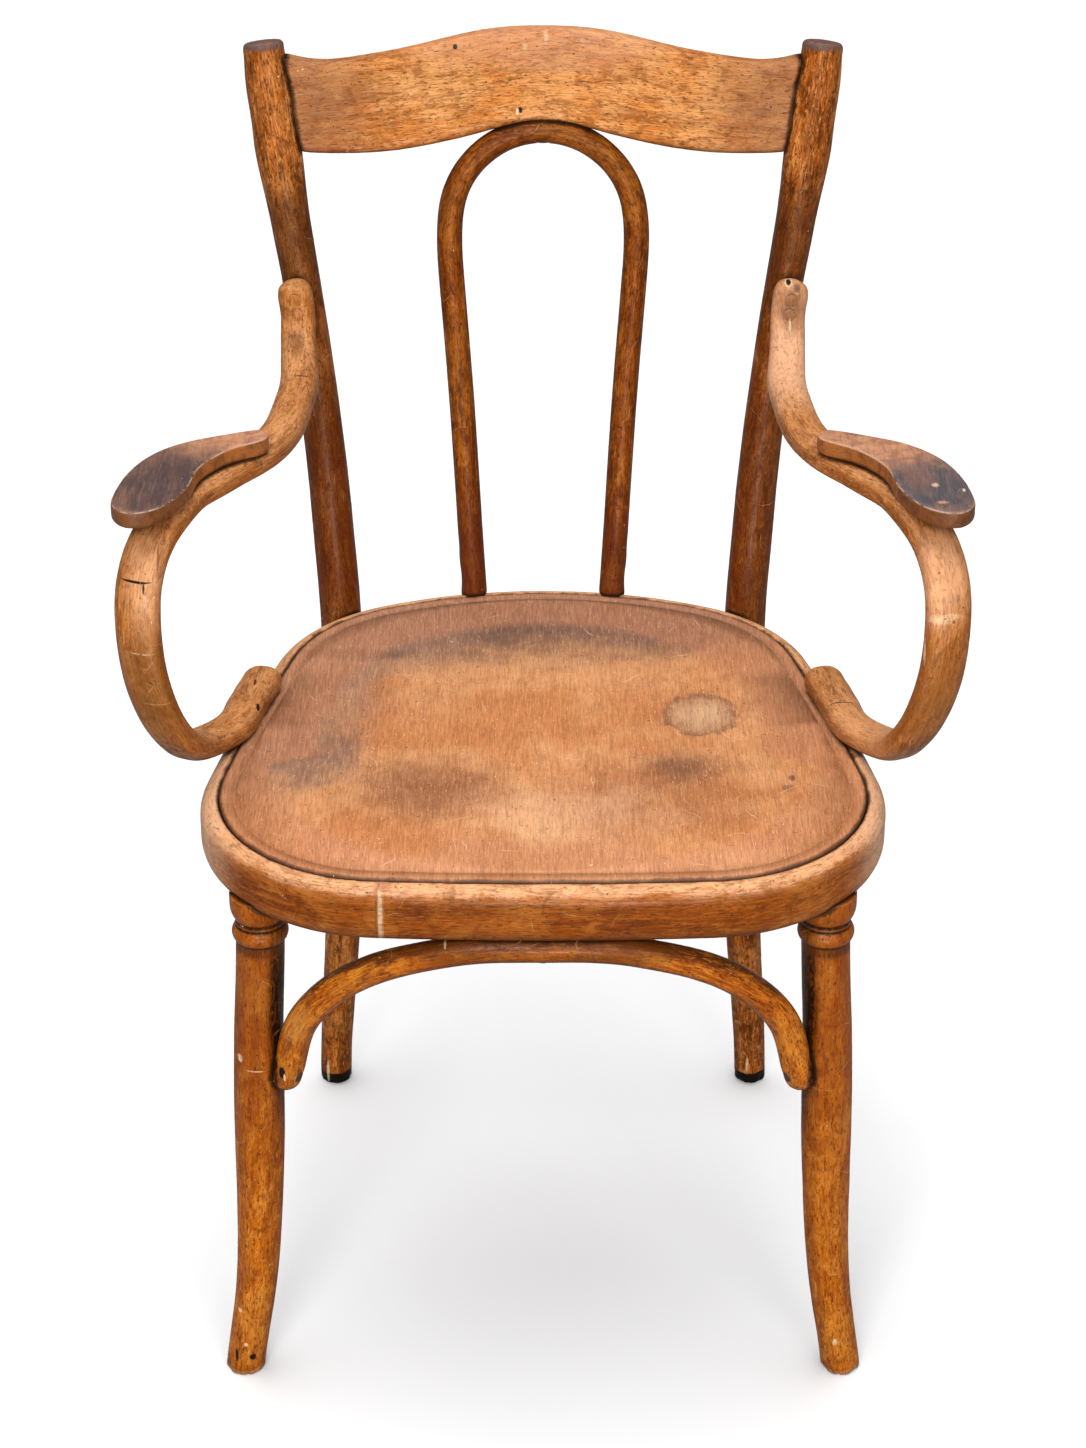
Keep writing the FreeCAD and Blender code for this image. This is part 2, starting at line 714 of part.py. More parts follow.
def make_arm_pad():
    board = pad_blank()
    board = board.makeFillet(pad_top_round, edges_at(board, armrest_height))
    return board.makeFillet(pad_under_round, edges_at(board, pad_under))


# Fasteners
def screw(point, direction, length, above=overrun):
    """Slotted countersunk screw from its head's face at the point, and the bore that it sits in."""
    head, shank = screw_head_diameter / 2, screw_diameter / 2
    profile = (V(head, 0, screw_lip), V(shank, 0, screw_head_height), V(shank, 0, length - screw_point), V(0, 0, length))
    body = turned(lines(ORIGIN, V(head, 0, 0), *profile, ORIGIN))
    bore = turned(lines(UP * -above, V(head, 0, -above), *profile, UP * -above))
    slot = Part.makeBox(screw_head_diameter, slot_width, 2 * slot_depth, V(-head, -slot_width / 2, -slot_depth))
    return placed(body.cut(slot), point, direction), placed(bore, point, direction)


def post_bolt():
    """Right post's bolt, washer and nut, and the bore through the post and the ring."""
    z = frame_bottom + frame_height / 2
    centre, size = post_at(z)
    # The head's flat underside beds where the post is as wide as the head
    start = centre + post_outward * math.sqrt((size / 2) ** 2 - (bolt_head_diameter / 2) ** 2)
    wall = (start - post_bearing).dot(post_outward) + frame_thickness - washer_sink
    length = wall + washer_thickness + nut_thickness + bolt_spare
    head, shank = bolt_head_diameter / 2, bolt_diameter / 2
    dome_radius = (head ** 2 + bolt_head_height ** 2) / (2 * bolt_head_height)
    dome_side = dome_radius - bolt_head_height - math.sqrt(dome_radius ** 2 - (head / 2) ** 2)
    edges = [Part.Arc(UP * -bolt_head_height, V(head / 2, 0, dome_side), V(head, 0, 0)).toShape()]
    edges += lines(V(head, 0, 0), V(shank, 0, 0), V(shank, 0, length), UP * length, UP * -bolt_head_height)
    bolt = turned(edges)
    hole = Part.makeCylinder(shank, length)
    washer = Part.makeCylinder(washer_diameter / 2, washer_thickness, UP * wall).cut(hole)
    corner = nut_width / 2 / math.cos(math.pi / 6)
    corners = [level_direction(60 * index) * corner + UP * (wall + washer_thickness) for index in range(6)]
    nut = prism(Part.Wire(lines(*corners, corners[0])), nut_thickness).cut(hole)
    bore = Part.makeCylinder(shank + fit_gap, length).fuse(
        Part.makeCylinder(head + fit_gap, overrun, UP * -overrun)).fuse(
        Part.makeCylinder(washer_diameter / 2 + fit_gap, washer_sink + overrun, UP * wall))
    return [placed(shape, start, -post_outward) for shape in (bolt, washer, nut, bore)]


def arm_post_screws():
    found = []
    for share in arm_screw_shares:
        centre = arm_on_post(between(arm_leave_height, arm_tip_height, share))
        start = centre - BACKWARD * (arm_thickness / 2 - screw_sink)
        found.append(screw(start, BACKWARD, arm_thickness + post_diameter / 2 * screw_bite_share))
    return found


def arm_seat_screws():
    """Screws from below through the ring into the arm's end, their heads sunk in the rounded underside."""
    found = []
    start_z = frame_bottom + frame_bottom_round / 2
    for share in arm_seat_shares:
        y = arm_on_rim(share).y
        start = V(rim_x(y, rim_width / 2), y, start_z)
        found.append(screw(start, UP, seat_height + arm_thickness * screw_bite_share - start_z, frame_bottom_round))
    return found


def pad_screws():
    found = []
    for share in pad_screw_shares:
        centre = arm_under_pad(between(curl_mid_y, pad_back_y, share))
        start = V(centre.x, centre.y, centre.z - arm_thickness / 2 + screw_sink)
        found.append(screw(start, UP, pad_under + pad_thickness * screw_bite_share - start.z))
    return found


def brace_leg_screw():
    """Screw through the right end of the brace, level, into the middle of the leg."""
    inward = V(brace_end_in, brace_end_front, 0)
    distance = inward.Length
    inward.normalize()
    start = brace_end + UP * brace_screw_rise - inward * (brace_haunch_diameter / 2 - screw_sink)
    return screw(start, inward, brace_haunch_diameter / 2 + distance)


def brace_centre_screw():
    start = brace_middle - UP * (brace_diameter / 2 - screw_sink)
    return screw(start, UP, brace_diameter + frame_height / 2 * screw_bite_share)


def hoop_crest_screw():
    start = hoop_point(0.0, arch_top_z) - hoop_up * (hoop_r - screw_sink)
    return screw(start, hoop_up, hoop_diameter + crest_depth * crest_bite_share)


def leg_lock_screw():
    """Screw from the ring's inner face into the tenon of the right front leg."""
    centre = edge_arcs[1][0]
    outward = V(leg_x - centre.x, leg_y - centre.y, 0)
    distance = outward.Length
    outward.normalize()
    start_radius = front_corner_radius - frame_thickness + screw_sink
    start = centre + outward * start_radius + UP * (frame_bottom + leg_tenon_length / 2)
    return screw(start, outward, distance - start_radius + leg_tenon_diameter / 2 * screw_bite_share)


def crest_pin():
    """Pin from behind through the right post and the tenon of the rail, short of the post's front."""
    _, size = post_at(crest_mid_z)
    back = math.sqrt((size / 2) ** 2 - pin_inset ** 2) - screw_sink
    start = V(crest_half - pin_inset, crest_end.y + back, crest_mid_z)
    return Part.makeCylinder(pin_diameter / 2, back + crest_tenon_thickness / 2 + pin_diameter, start, -BACKWARD)


def panel_brads():
    """Brads of the right half, driven through the panel's edge into the ledge below it."""
    head, shank = brad_head_diameter / 2, brad_diameter / 2
    outline = lines(ORIGIN, V(head, 0, 0), V(head, 0, -brad_head_height), V(shank, 0, -brad_head_height),
                    V(shank, 0, -brad_length), V(0, 0, -brad_length), ORIGIN)
    brad = turned(outline)
    found = []
    for index in range(brads_per_side):
        turn = 180 * (index + 1 / 2) / brads_per_side
        point, _ = edge_point(turn, rim_width + panel_gap + brad_inset)
        found.append(brad.translated(point + UP * (panel_top - brad_sink)))
    return found


def build():
    frame = make_seat_frame()
    panel = make_seat_panel()
    post = make_back_post()
    leg = make_front_leg()
    crest = make_crest_bar()
    hoop = make_back_hoop()
    brace = make_front_brace()
    arm = make_arm()
    pad = make_arm_pad()
    bolt, washer, nut, bolt_bore = post_bolt()
    tip_screws, rim_screws, top_screws = arm_post_screws(), arm_seat_screws(), pad_screws()
    end_screw, middle_screw, arch_screw, lock_screw = (
        brace_leg_screw(), brace_centre_screw(), hoop_crest_screw(), leg_lock_screw())
    pin = crest_pin()
    brads = panel_brads()

    # Where two pieces meet, the one named first is shaped to the one that it is cut with
    crest = largest(crest.cut(post).cut(mirrored(post)).cut(hoop))
    crest = crest.fuse(crest_tenon()).fuse(mirrored(crest_tenon()))
    crest = crest.cut(arch_screw[1]).cut(pin).cut(mirrored(pin))
    hoop = largest(hoop.cut(frame).cut(panel))
    hoop = hoop.fuse(hoop_tenon()).fuse(mirrored(hoop_tenon())).cut(arch_screw[1])
    brace = largest(brace.cut(leg).cut(mirrored(leg)).cut(frame))
    brace = brace.cut(middle_screw[1]).cut(end_screw[1]).cut(mirrored(end_screw[1]))
    arm = largest(arm.cut(frame).cut(panel).cut(post).cut(pad_blank()))
    for _, bore in tip_screws + rim_screws + top_screws:
        arm = arm.cut(bore)
    for _, bore in top_screws:
        pad = pad.cut(bore)
    post = largest(post.cut(frame)).cut(crest_tenon(fit_gap)).cut(bolt_bore).cut(pin)
    for _, bore in tip_screws:
        post = post.cut(bore)
    leg = largest(leg.cut(frame)).fuse(leg_tenon()).cut(lock_screw[1]).cut(end_screw[1])
    right_bores = [leg_tenon(fit_gap), hoop_tenon(fit_gap), bolt_bore, lock_screw[1]]
    right_bores += [bore for _, bore in rim_screws]
    for bore in right_bores + [mirrored(bore) for bore in right_bores] + [middle_screw[1]]:
        frame = frame.cut(bore)
    for brad in brads:
        for nail in (brad, mirrored(brad)):
            panel = panel.cut(nail)
            frame = frame.cut(nail)

    return {
        "seat_frame": frame,
        "seat_panel": panel,
        "right_back_post": post,
        "left_back_post": mirrored(post),
        "right_front_leg": leg,
        "left_front_leg": mirrored(leg),
        "crest_rail": crest,
        "back_hoop": hoop,
        "front_brace": brace,
        "right_arm": arm,
        "left_arm": mirrored(arm),
        "right_arm_pad": pad,
        "left_arm_pad": mirrored(pad),
        "post_bolts": both_sides([bolt]),
        "post_bolt_washers": both_sides([washer]),
        "post_bolt_nuts": both_sides([nut]),
        "leg_lock_screws": both_sides([lock_screw[0]]),
        "crest_pins": both_sides([pin]),
        "hoop_crest_screw": arch_screw[0],
        "brace_leg_screws": both_sides([end_screw[0]]),
        "brace_centre_screw": middle_screw[0],
        "arm_post_screws": both_sides([solid for solid, _ in tip_screws]),
        "arm_seat_screws": both_sides([solid for solid, _ in rim_screws]),
        "arm_pad_screws": both_sides([solid for solid, _ in top_screws]),
        "panel_brads": both_sides(brads),
    }


os.makedirs("parts", exist_ok=True)
made = build()
front = made["seat_frame"].optimalBoundingBox(False, False).YMin
back = made["right_back_post"].optimalBoundingBox(False, False).YMax
print(f"the seat's middle lies {-(front + back) / 2:.2f} mm from the origin along Y")
for name, shape in made.items():
    shape = shape.copy()
    shape.translate(V(0, -(front + back) / 2, 0))
    shape.exportStep(f"parts/{name}.step")
    box = shape.BoundBox
    print(f"{name}: {len(shape.Solids)} solid, {shape.Volume / 1000:.1f} cm3, valid {shape.isValid()}, "
          f"{box.XMin:.1f} {box.YMin:.1f} {box.ZMin:.1f} to {box.XMax:.1f} {box.YMax:.1f} {box.ZMax:.1f}")
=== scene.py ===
# %% [markdown]
# # A worn bentwood armchair
# Steam-bent beech members carry a round plywood seat. Every member already has its exact shape in the
# frame that is loaded here. This lesson dresses them: each one becomes a fine, slightly uneven mesh
# that knows which way its grain runs, and then gets the varnish, grime and scars of a café chair.

# %% The frame
import math

import bmesh
import bpy
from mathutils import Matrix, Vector


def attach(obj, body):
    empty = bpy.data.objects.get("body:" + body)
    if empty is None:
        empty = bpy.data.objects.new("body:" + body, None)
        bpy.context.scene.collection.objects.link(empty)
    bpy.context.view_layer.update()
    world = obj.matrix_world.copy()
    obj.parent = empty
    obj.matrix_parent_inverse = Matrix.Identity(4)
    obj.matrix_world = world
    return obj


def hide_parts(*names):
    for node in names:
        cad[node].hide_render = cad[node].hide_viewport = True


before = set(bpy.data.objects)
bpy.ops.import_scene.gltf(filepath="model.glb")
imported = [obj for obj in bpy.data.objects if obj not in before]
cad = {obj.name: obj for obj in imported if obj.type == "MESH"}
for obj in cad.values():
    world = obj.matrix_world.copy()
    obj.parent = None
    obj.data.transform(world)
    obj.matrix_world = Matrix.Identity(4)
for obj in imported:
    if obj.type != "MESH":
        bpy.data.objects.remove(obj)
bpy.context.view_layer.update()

# %% [markdown]
# ## The studio
# The chair stands on white paper in soft, even light. The camera looks down at it from the front, with
# a long lens, so the legs hardly converge. Large area lamps give wood the broad, dull highlights that
# a small lamp would turn into hard dots.

# %% Camera


def put(name, data):
    """A new object in the scene that shows the data."""
    made = bpy.data.objects.new(name, data)
    bpy.context.scene.collection.objects.link(made)
    return made


eye = put("camera", bpy.data.cameras.new("camera"))
eye.location = (0.0, -2.26054, 1.6905)
eye.rotation_euler = (math.radians(61.07), 0.0, 0.0)
eye.data.lens = 87.06
eye.data.sensor_width = 36.0
bpy.context.scene.camera = eye
print("camera", tuple(round(v, 3) for v in eye.location))

# %% Lamps


def lamp(name, place, target, size, power):
    """A square area lamp at place that faces target."""
    made = put(name, bpy.data.lights.new(name, "AREA"))
    made.data.size, made.data.energy = size, power
    made.location = place
    made.rotation_euler = (Vector(target) - Vector(place)).to_track_quat("-Z", "Y").to_euler()


middle = (0.0, 0.0, 0.55)
lamp("key", (-0.5, -2.5, 2.3), middle, 0.8, 40)
lamp("fill", (0.9, -2.4, 2.0), middle, 0.8, 14)
lamp("low strip", (0.1, -2.3, 0.30), (0.0, 0.0, 0.50), 0.40, 15)
ceiling = put("ceiling", bpy.data.lights.new("ceiling", "SUN"))
ceiling.data.energy, ceiling.data.angle = 2.7, math.radians(75)
ceiling.rotation_euler = (math.radians(-12), math.radians(-4), 0.0)
bpy.context.scene.view_settings.view_transform = "Standard"
print("four lamps")

# %% [markdown]
# ## Small helpers for node trees
# Geometry trees and shader trees are wired in the same way, so one helper adds a node, sets it up and
# fills its sockets, either with plain values or with another node's output.

# %% Node helpers


def add(tree, kind, inputs=None, **settings):
    """Add a node of that kind. A socket takes a value, or is linked where the value is an output."""
    made = tree.nodes.new(kind)
    for name, value in settings.items():
        setattr(made, name, value)
    for key, value in (inputs or {}).items():
        if isinstance(value, bpy.types.NodeSocket):
            tree.links.new(value, made.inputs[key])
        else:
            made.inputs[key].default_value = value
    return made


def calc(tree, operation, first, second=0.0, clamp=False):
    """One Math node, as its output."""
    return add(tree, "ShaderNodeMath", {0: first, 1: second}, operation=operation, use_clamp=clamp).outputs[0]


def turn(tree, operation, first, second=(0.0, 0.0, 0.0), scale=1.0):
    """One Vector Math node, as its output: a number for LENGTH and DOT_PRODUCT, else a vector."""
    inputs = {"SCALE": {0: first, "Scale": scale}, "LENGTH": {0: first}}.get(operation, {0: first, 1: second})
    made = add(tree, "ShaderNodeVectorMath", inputs, operation=operation)
    return made.outputs["Value" if operation in ("LENGTH", "DOT_PRODUCT") else "Vector"]


def fade(tree, value, low, high, start=0.0, end=1.0):
    """Smooth step: start where value is low, end where it is high."""
    return add(tree, "ShaderNodeMapRange", {"Value": value, "From Min": low, "From Max": high,
               "To Min": start, "To Max": end}, interpolation_type="SMOOTHSTEP").outputs["Result"]


def noise(tree, vector, scale, detail=2.0, rough=0.5, distortion=0.0):
    """Noise that lies around a half."""
    return add(tree, "ShaderNodeTexNoise", {"Vector": vector, "Scale": scale, "Detail": detail,
               "Roughness": rough, "Distortion": distortion}).outputs[0]


def streaks(tree, vector, stretch, detail, rough=0.5, distortion=0.0):
    """Noise with a scale of its own along each axis."""
    return noise(tree, turn(tree, "MULTIPLY", vector, stretch), 1.0, detail, rough, distortion)


def shifted(tree, place, step, seed):
    """The place, moved by seed steps, so that two pieces don't share one pattern."""
    return turn(tree, "ADD", place, turn(tree, "SCALE", step, scale=seed))


def total(tree, *parts, start=0.0):
    """The start and each (value, weight) added up."""
    for value, weight in parts:
        start = calc(tree, "ADD", start, calc(tree, "MULTIPLY", value, weight))
    return start


def swayed(tree, base, pattern, reach):
    """The base, moved up and down by a pattern that lies around a half."""
    return calc(tree, "ADD", base, calc(tree, "MULTIPLY", calc(tree, "SUBTRACT", pattern, 0.5), reach))


def store(tree, geometry, name, value, kind="FLOAT"):
    """Write a value on each point of the geometry, under that name."""
    return add(tree, "GeometryNodeStoreNamedAttribute",
               {"Geometry": geometry, "Name": name, "Value": value}, data_type=kind).outputs[0]


def grower(name, **wanted):
    """An empty geometry tree. Besides the geometry its inputs are name=(kind of socket, value or None)."""
    tree = bpy.data.node_groups.new(name, "GeometryNodeTree")
    tree.is_modifier = True
    for key, (kind, value) in {"Geometry": ("Geometry", None), **wanted}.items():
        title = key.replace("_", " ")
        made = tree.interface.new_socket(title, in_out="INPUT", socket_type="NodeSocket" + kind)
        if value is not None:
            made.default_value = value
    tree.interface.new_socket("Geometry", in_out="OUTPUT", socket_type="NodeSocketGeometry")
    return tree


print("helpers ready")

# %% [markdown]
# ## The sky
# A white room all round would fill every shadow and flatten the wood. The sky is bright in front and
# above, where the soft boxes of a studio hang, and dim at the sides and behind, so that each round
# member darkens towards its edges. Only what the camera sees directly of the sky is plain white.

# %% Sky
sky = bpy.data.worlds.new("studio")
bpy.context.scene.world = sky
sky.use_nodes = True
tree = sky.node_tree
heading = add(tree, "ShaderNodeTexCoord").outputs["Generated"]
facing = turn(tree, "DOT_PRODUCT", heading, (0.0, -0.72, 0.69))
glow = fade(tree, facing, -0.2, 0.9, 0.08, 0.60)
seen = add(tree, "ShaderNodeLightPath").outputs["Is Camera Ray"]
tree.links.new(calc(tree, "MAXIMUM", glow, seen), tree.nodes["Background"].inputs["Strength"])
tree.nodes["Background"].inputs["Color"].default_value = (1.0, 1.0, 1.0, 1.0)
print("sky:", len(tree.nodes), "nodes")

# %% [markdown]
# ## What every bent member needs
# On a bent chair the grain follows each bend, because the wood was steamed and pulled round a form. A
# texture in plain object space would cut straight through the curve. So a line is laid down the
# middle of each member, and a Geometry Nodes tree measures every point of the surface against it: how
# far across, and how far along. The wood material reads that as its own coordinates.
#
# The same tree softens the surface a little, presses shallow dents into it, chips the end that stands
# on the floor, and notes where the edges are proud and where another member touches, for wear, dirt
# and painted shade.

# %% The tree for a weathered member
weather = grower("Weathered member", Line=("Object", None), Neighbours=("Object", None),
                 Wood=("Material", None), Soften=("Int", 2), Edge_scale=("Float", 0.0006),
                 Dent_depth=("Float", 0.0005), Dent_size=("Float", 0.03), Chip_height=("Float", 0.0),
                 Chip_depth=("Float", 0.003), Seed=("Float", 0.0))


def grow_weather(tree):
    """Soften the surface, measure it against its line and its neighbours, then dent and chip it."""
    given = add(tree, "NodeGroupInput").outputs
    place = add(tree, "GeometryNodeInputPosition").outputs[0]
    out = add(tree, "GeometryNodeInputNormal").outputs[0]

    def blurred(rounds):
        return add(tree, "GeometryNodeBlurAttribute", {"Value": place, "Iterations": rounds},
                   data_type="FLOAT_VECTOR").outputs[0]

    def shape_of(other):
        seen = add(tree, "GeometryNodeObjectInfo", {"Object": given[other]}, transform_space="RELATIVE")
        return seen.outputs["Geometry"]

    # Soften the arrises, then compare the surface with a smoother one to find proud edges and hollows
    skin = add(tree, "GeometryNodeSetPosition",
               {"Geometry": given["Geometry"], "Position": blurred(given["Soften"])}).outputs[0]
    proud = turn(tree, "DOT_PRODUCT", turn(tree, "SUBTRACT", place, blurred(14)), out)
    skin = store(tree, skin, "proud", calc(tree, "DIVIDE", proud, given["Edge scale"]))

    # How close the neighbours are, from 1 where they touch to 0 at 12 mm
    gap = add(tree, "GeometryNodeProximity", {0: shape_of("Neighbours")}, target_element="FACES")
    skin = store(tree, skin, "near", fade(tree, gap.outputs["Distance"], 0.0, 0.012, 1.0, 0.0))

    # The line, as closely spaced points that know their place, their length along it and their frame
    curve = add(tree, "GeometryNodeMeshToCurve", {0: shape_of("Line")}).outputs[0]
    curve = add(tree, "GeometryNodeCurveSplineType", {0: curve}, spline_type="CATMULL_ROM").outputs[0]
    curve = add(tree, "GeometryNodeResampleCurve", {"Curve": curve, "Length": 0.002},
                mode="LENGTH").outputs[0]
    curve = store(tree, curve, "length", add(tree, "GeometryNodeSplineParameter").outputs["Length"])
    beads = add(tree, "GeometryNodeCurveToPoints", {"Curve": curve}, mode="EVALUATED").outputs
    points = store(tree, beads["Points"], "tangent", beads["Tangent"], "FLOAT_VECTOR")
    points = store(tree, points, "side", beads["Normal"], "FLOAT_VECTOR")
    nearest = add(tree, "GeometryNodeSampleNearest", {"Geometry": points}, domain="POINT").outputs[0]

    def sampled(value, kind="FLOAT_VECTOR"):
        return add(tree, "GeometryNodeSampleIndex", {"Geometry": points, "Value": value, "Index": nearest},
                   data_type=kind).outputs[0]

    def noted(name, kind="FLOAT_VECTOR"):
        note = add(tree, "GeometryNodeInputNamedAttribute", {"Name": name}, data_type=kind)
        return sampled(note.outputs["Attribute"], kind)

    tangent = noted("tangent")
    side = noted("side")
    offset = turn(tree, "SUBTRACT", place, sampled(place))
    across = turn(tree, "DOT_PRODUCT", offset, side)
    other = turn(tree, "DOT_PRODUCT", offset, turn(tree, "CROSS_PRODUCT", tangent, side))
    along = calc(tree, "ADD", noted("length", "FLOAT"), turn(tree, "DOT_PRODUCT", offset, tangent))
    grain = add(tree, "ShaderNodeCombineXYZ", {0: across, 1: other, 2: along}).outputs[0]
    skin = store(tree, skin, "grain", grain, "FLOAT_VECTOR")

    # Shallow dents, and chips that eat into the end that scrapes over the floor
    moved = shifted(tree, place, (1.0, 1.0, 1.0), given["Seed"])
    dent = noise(tree, moved, calc(tree, "DIVIDE", 1.0, given["Dent size"]), 2.0)
    dent = swayed(tree, 0.0, dent, given["Dent depth"])
    height = add(tree, "ShaderNodeSeparateXYZ", {0: place}).outputs["Z"]
    low = fade(tree, height, 0.0, calc(tree, "MAXIMUM", given["Chip height"], 0.0001), 1.0, 0.0)
    flake = fade(tree, noise(tree, moved, 140.0, 3.0), 0.47, 0.56)
    chip = calc(tree, "MULTIPLY", calc(tree, "MULTIPLY", low, flake), given["Chip depth"])
    facing = add(tree, "ShaderNodeSeparateXYZ", {0: out}).outputs
    level = add(tree, "ShaderNodeCombineXYZ", {0: facing["X"], 1: facing["Y"]}).outputs[0]
    eaten = turn(tree, "SCALE", level, scale=chip)
    shift = turn(tree, "SUBTRACT", turn(tree, "SCALE", out, scale=dent), eaten)
    skin = add(tree, "GeometryNodeSetPosition", {"Geometry": skin, "Offset": shift}).outputs[0]
    skin = add(tree, "GeometryNodeSetShadeSmooth", {"Geometry": skin}).outputs[0]
    skin = add(tree, "GeometryNodeRealizeInstances", {"Geometry": skin}).outputs[0]
    skin = add(tree, "GeometryNodeSetMaterial", {"Geometry": skin, "Material": given["Wood"]}).outputs[0]
    add(tree, "NodeGroupOutput", {0: skin})


grow_weather(weather)
print("weathered member:", len(weather.nodes), "nodes")

# %% [markdown]
# ## Effects that several finishes share
# Old varnished beech shows the same few things everywhere: bands and fibres along the grain with short
# dark flecks, clouds of grime, crossing scratches, and single stains or bare spots. Each is a shader
# group with named inputs, so that a leg and an arm can wear the same effect with other values.

# %% Shader helpers


def tint(text):
    """A colour as it is seen on a screen, #rrggbb, as the linear colour that Blender mixes."""
    parts = [int(text[i:i + 2], 16) / 255 for i in (1, 3, 5)]
    return tuple(p / 12.92 if p <= 0.04045 else ((p + 0.055) / 1.055) ** 2.4 for p in parts) + (1.0,)


def paint(tree, amount, below, above):
    """Lay the colour above over the colour below, by amount."""
    return add(tree, "ShaderNodeMix", {0: amount, 6: below, 7: above}, data_type="RGBA").outputs[2]


def laid(tree, colour, *coats):
    """Lay coats over the colour one by one, each an amount and its colour as #rrggbb."""
    for amount, shade in coats:
        colour = paint(tree, amount, colour, tint(shade))
    return colour


def some(tree, value, low, high, share):
    """None where value is low, and the share where it is high."""
    return calc(tree, "MULTIPLY", fade(tree, value, low, high), share)


def group(name, inputs, outputs):
    """An empty shader group. Its inputs are name=value, where a tuple makes a vector socket."""
    tree = bpy.data.node_groups.new(name, "ShaderNodeTree")
    for key, value in inputs.items():
        kind = "NodeSocketVector" if isinstance(value, tuple) else "NodeSocketFloat"
        tree.interface.new_socket(key, in_out="INPUT", socket_type=kind).default_value = value
    for key in outputs:
        tree.interface.new_socket(key, in_out="OUTPUT", socket_type="NodeSocketFloat")
    return tree, add(tree, "NodeGroupInput").outputs


def use(tree, effect, **values):
    """Place a group in a tree and return its outputs."""
    return add(tree, "ShaderNodeGroup", {key.replace("_", " "): v for key, v in values.items()},
               node_tree=effect).outputs


# %% Beech figure
beech_figure, given = group("Beech figure", {"Grain": (0.0, 0.0, 0.0), "Seed": 0.0},
                            ("Bands", "Fibres", "Flecks", "Patches", "Strokes"))
spread = shifted(beech_figure, given["Grain"], (0.31, 0.17, 0.73), given["Seed"])
flecks = streaks(beech_figure, spread, (800.0, 800.0, 190.0), 1.0)
add(beech_figure, "NodeGroupOutput", {
    "Bands": streaks(beech_figure, spread, (150.0, 150.0, 7.0), 3.0, 0.55, 0.5),
    "Fibres": streaks(beech_figure, spread, (900.0, 900.0, 60.0), 3.0, 0.65, 0.3),
    "Flecks": fade(beech_figure, flecks, 0.62, 0.70),
    "Patches": streaks(beech_figure, spread, (110.0, 110.0, 34.0), 6.0, 0.7, 0.6),
    "Strokes": streaks(beech_figure, spread, (430.0, 430.0, 120.0), 4.0, 0.62, 1.4)})
print("beech figure:", len(beech_figure.nodes), "nodes")

# %% Clouds of grime
grime, given = group("Grime", {"Place": (0.0, 0.0, 0.0), "Size": 0.05, "Seed": 0.0},
                     ("Cloud", "Mottle", "Dark specks", "Pale specks"))
spread = shifted(grime, given["Place"], (1.3, 2.1, 0.7), given["Seed"])
step = calc(grime, "DIVIDE", 1.0, given["Size"])
nicks = total(grime, (noise(grime, spread, 330.0, 3.0, 0.6, 0.5), 1.0), (noise(grime, spread, 45.0), 0.4))
add(grime, "NodeGroupOutput", {
    "Cloud": noise(grime, spread, step, 4.0, 0.55, 0.3),
    "Mottle": noise(grime, spread, calc(grime, "MULTIPLY", step, 4.0), 5.0, 0.62, 0.8),
    "Dark specks": fade(grime, noise(grime, spread, 420.0, 1.0), 0.70, 0.76),
    "Pale specks": fade(grime, nicks, 0.965, 0.985)})
print("grime:", len(grime.nodes), "nodes")

# %% Scratches
scratches, given = group("Scratches", {"Place": (0.0, 0.0, 0.0), "Spacing": 0.03, "Width": 0.012,
                                       "Chance": 0.35, "Seed": 0.0}, ("Scratch",))
cells = turn(scratches, "SCALE", given["Place"], scale=calc(scratches, "DIVIDE", 1.0, given["Spacing"]))
cells = shifted(scratches, cells, (3.7, 1.9, 5.3), given["Seed"])
cell = add(scratches, "ShaderNodeTexVoronoi", {"Vector": cells, "Scale": 1.0}).outputs
away = turn(scratches, "SUBTRACT", cells, cell["Position"])
lean = turn(scratches, "NORMALIZE", turn(scratches, "SUBTRACT", cell["Color"], (0.5, 0.5, 0.5)))
bend = noise(scratches, cells, 1.7, 1.0)
beside = swayed(scratches, turn(scratches, "DOT_PRODUCT", away, lean), bend, 0.35)
thin = calc(scratches, "MULTIPLY", given["Width"], 0.4)
line = fade(scratches, calc(scratches, "ABSOLUTE", beside), thin, given["Width"], 1.0, 0.0)
reach = fade(scratches, turn(scratches, "LENGTH", away), 0.2, 0.55, 1.0, 0.0)
luck = add(scratches, "ShaderNodeTexWhiteNoise", {"Vector": cell["Position"]}).outputs["Value"]
lucky = calc(scratches, "LESS_THAN", luck, given["Chance"])
add(scratches, "NodeGroupOutput",
    {"Scratch": calc(scratches, "MULTIPLY", calc(scratches, "MULTIPLY", line, reach), lucky)})
print("scratches:", len(scratches.nodes), "nodes")

# %% Stains and bare spots
spot, given = group("Spot", {"Place": (0.0, 0.0, 0.0), "Centre": (0.0, 0.0, 0.0), "Reach": (0.01, 0.01, 0.01),
                             "Soft": 0.3, "Ragged": 0.5}, ("Inside", "Rim"))
away = turn(spot, "DIVIDE", turn(spot, "SUBTRACT", given["Place"], given["Centre"]), given["Reach"])
ragged = noise(spot, turn(spot, "ADD", away, given["Centre"]), 1.9, 4.0, 0.65)
far = swayed(spot, turn(spot, "LENGTH", away), ragged, given["Ragged"])
low = calc(spot, "SUBTRACT", 1.0, given["Soft"])
high = calc(spot, "ADD", 1.0, given["Soft"])
edge = calc(spot, "ABSOLUTE", calc(spot, "SUBTRACT", far, 1.05))
add(spot, "NodeGroupOutput",
    {"Inside": fade(spot, far, low, high, 1.0, 0.0), "Rim": fade(spot, edge, 0.02, 0.17, 1.0, 0.0)})
print("spot:", len(spot.nodes), "nodes")
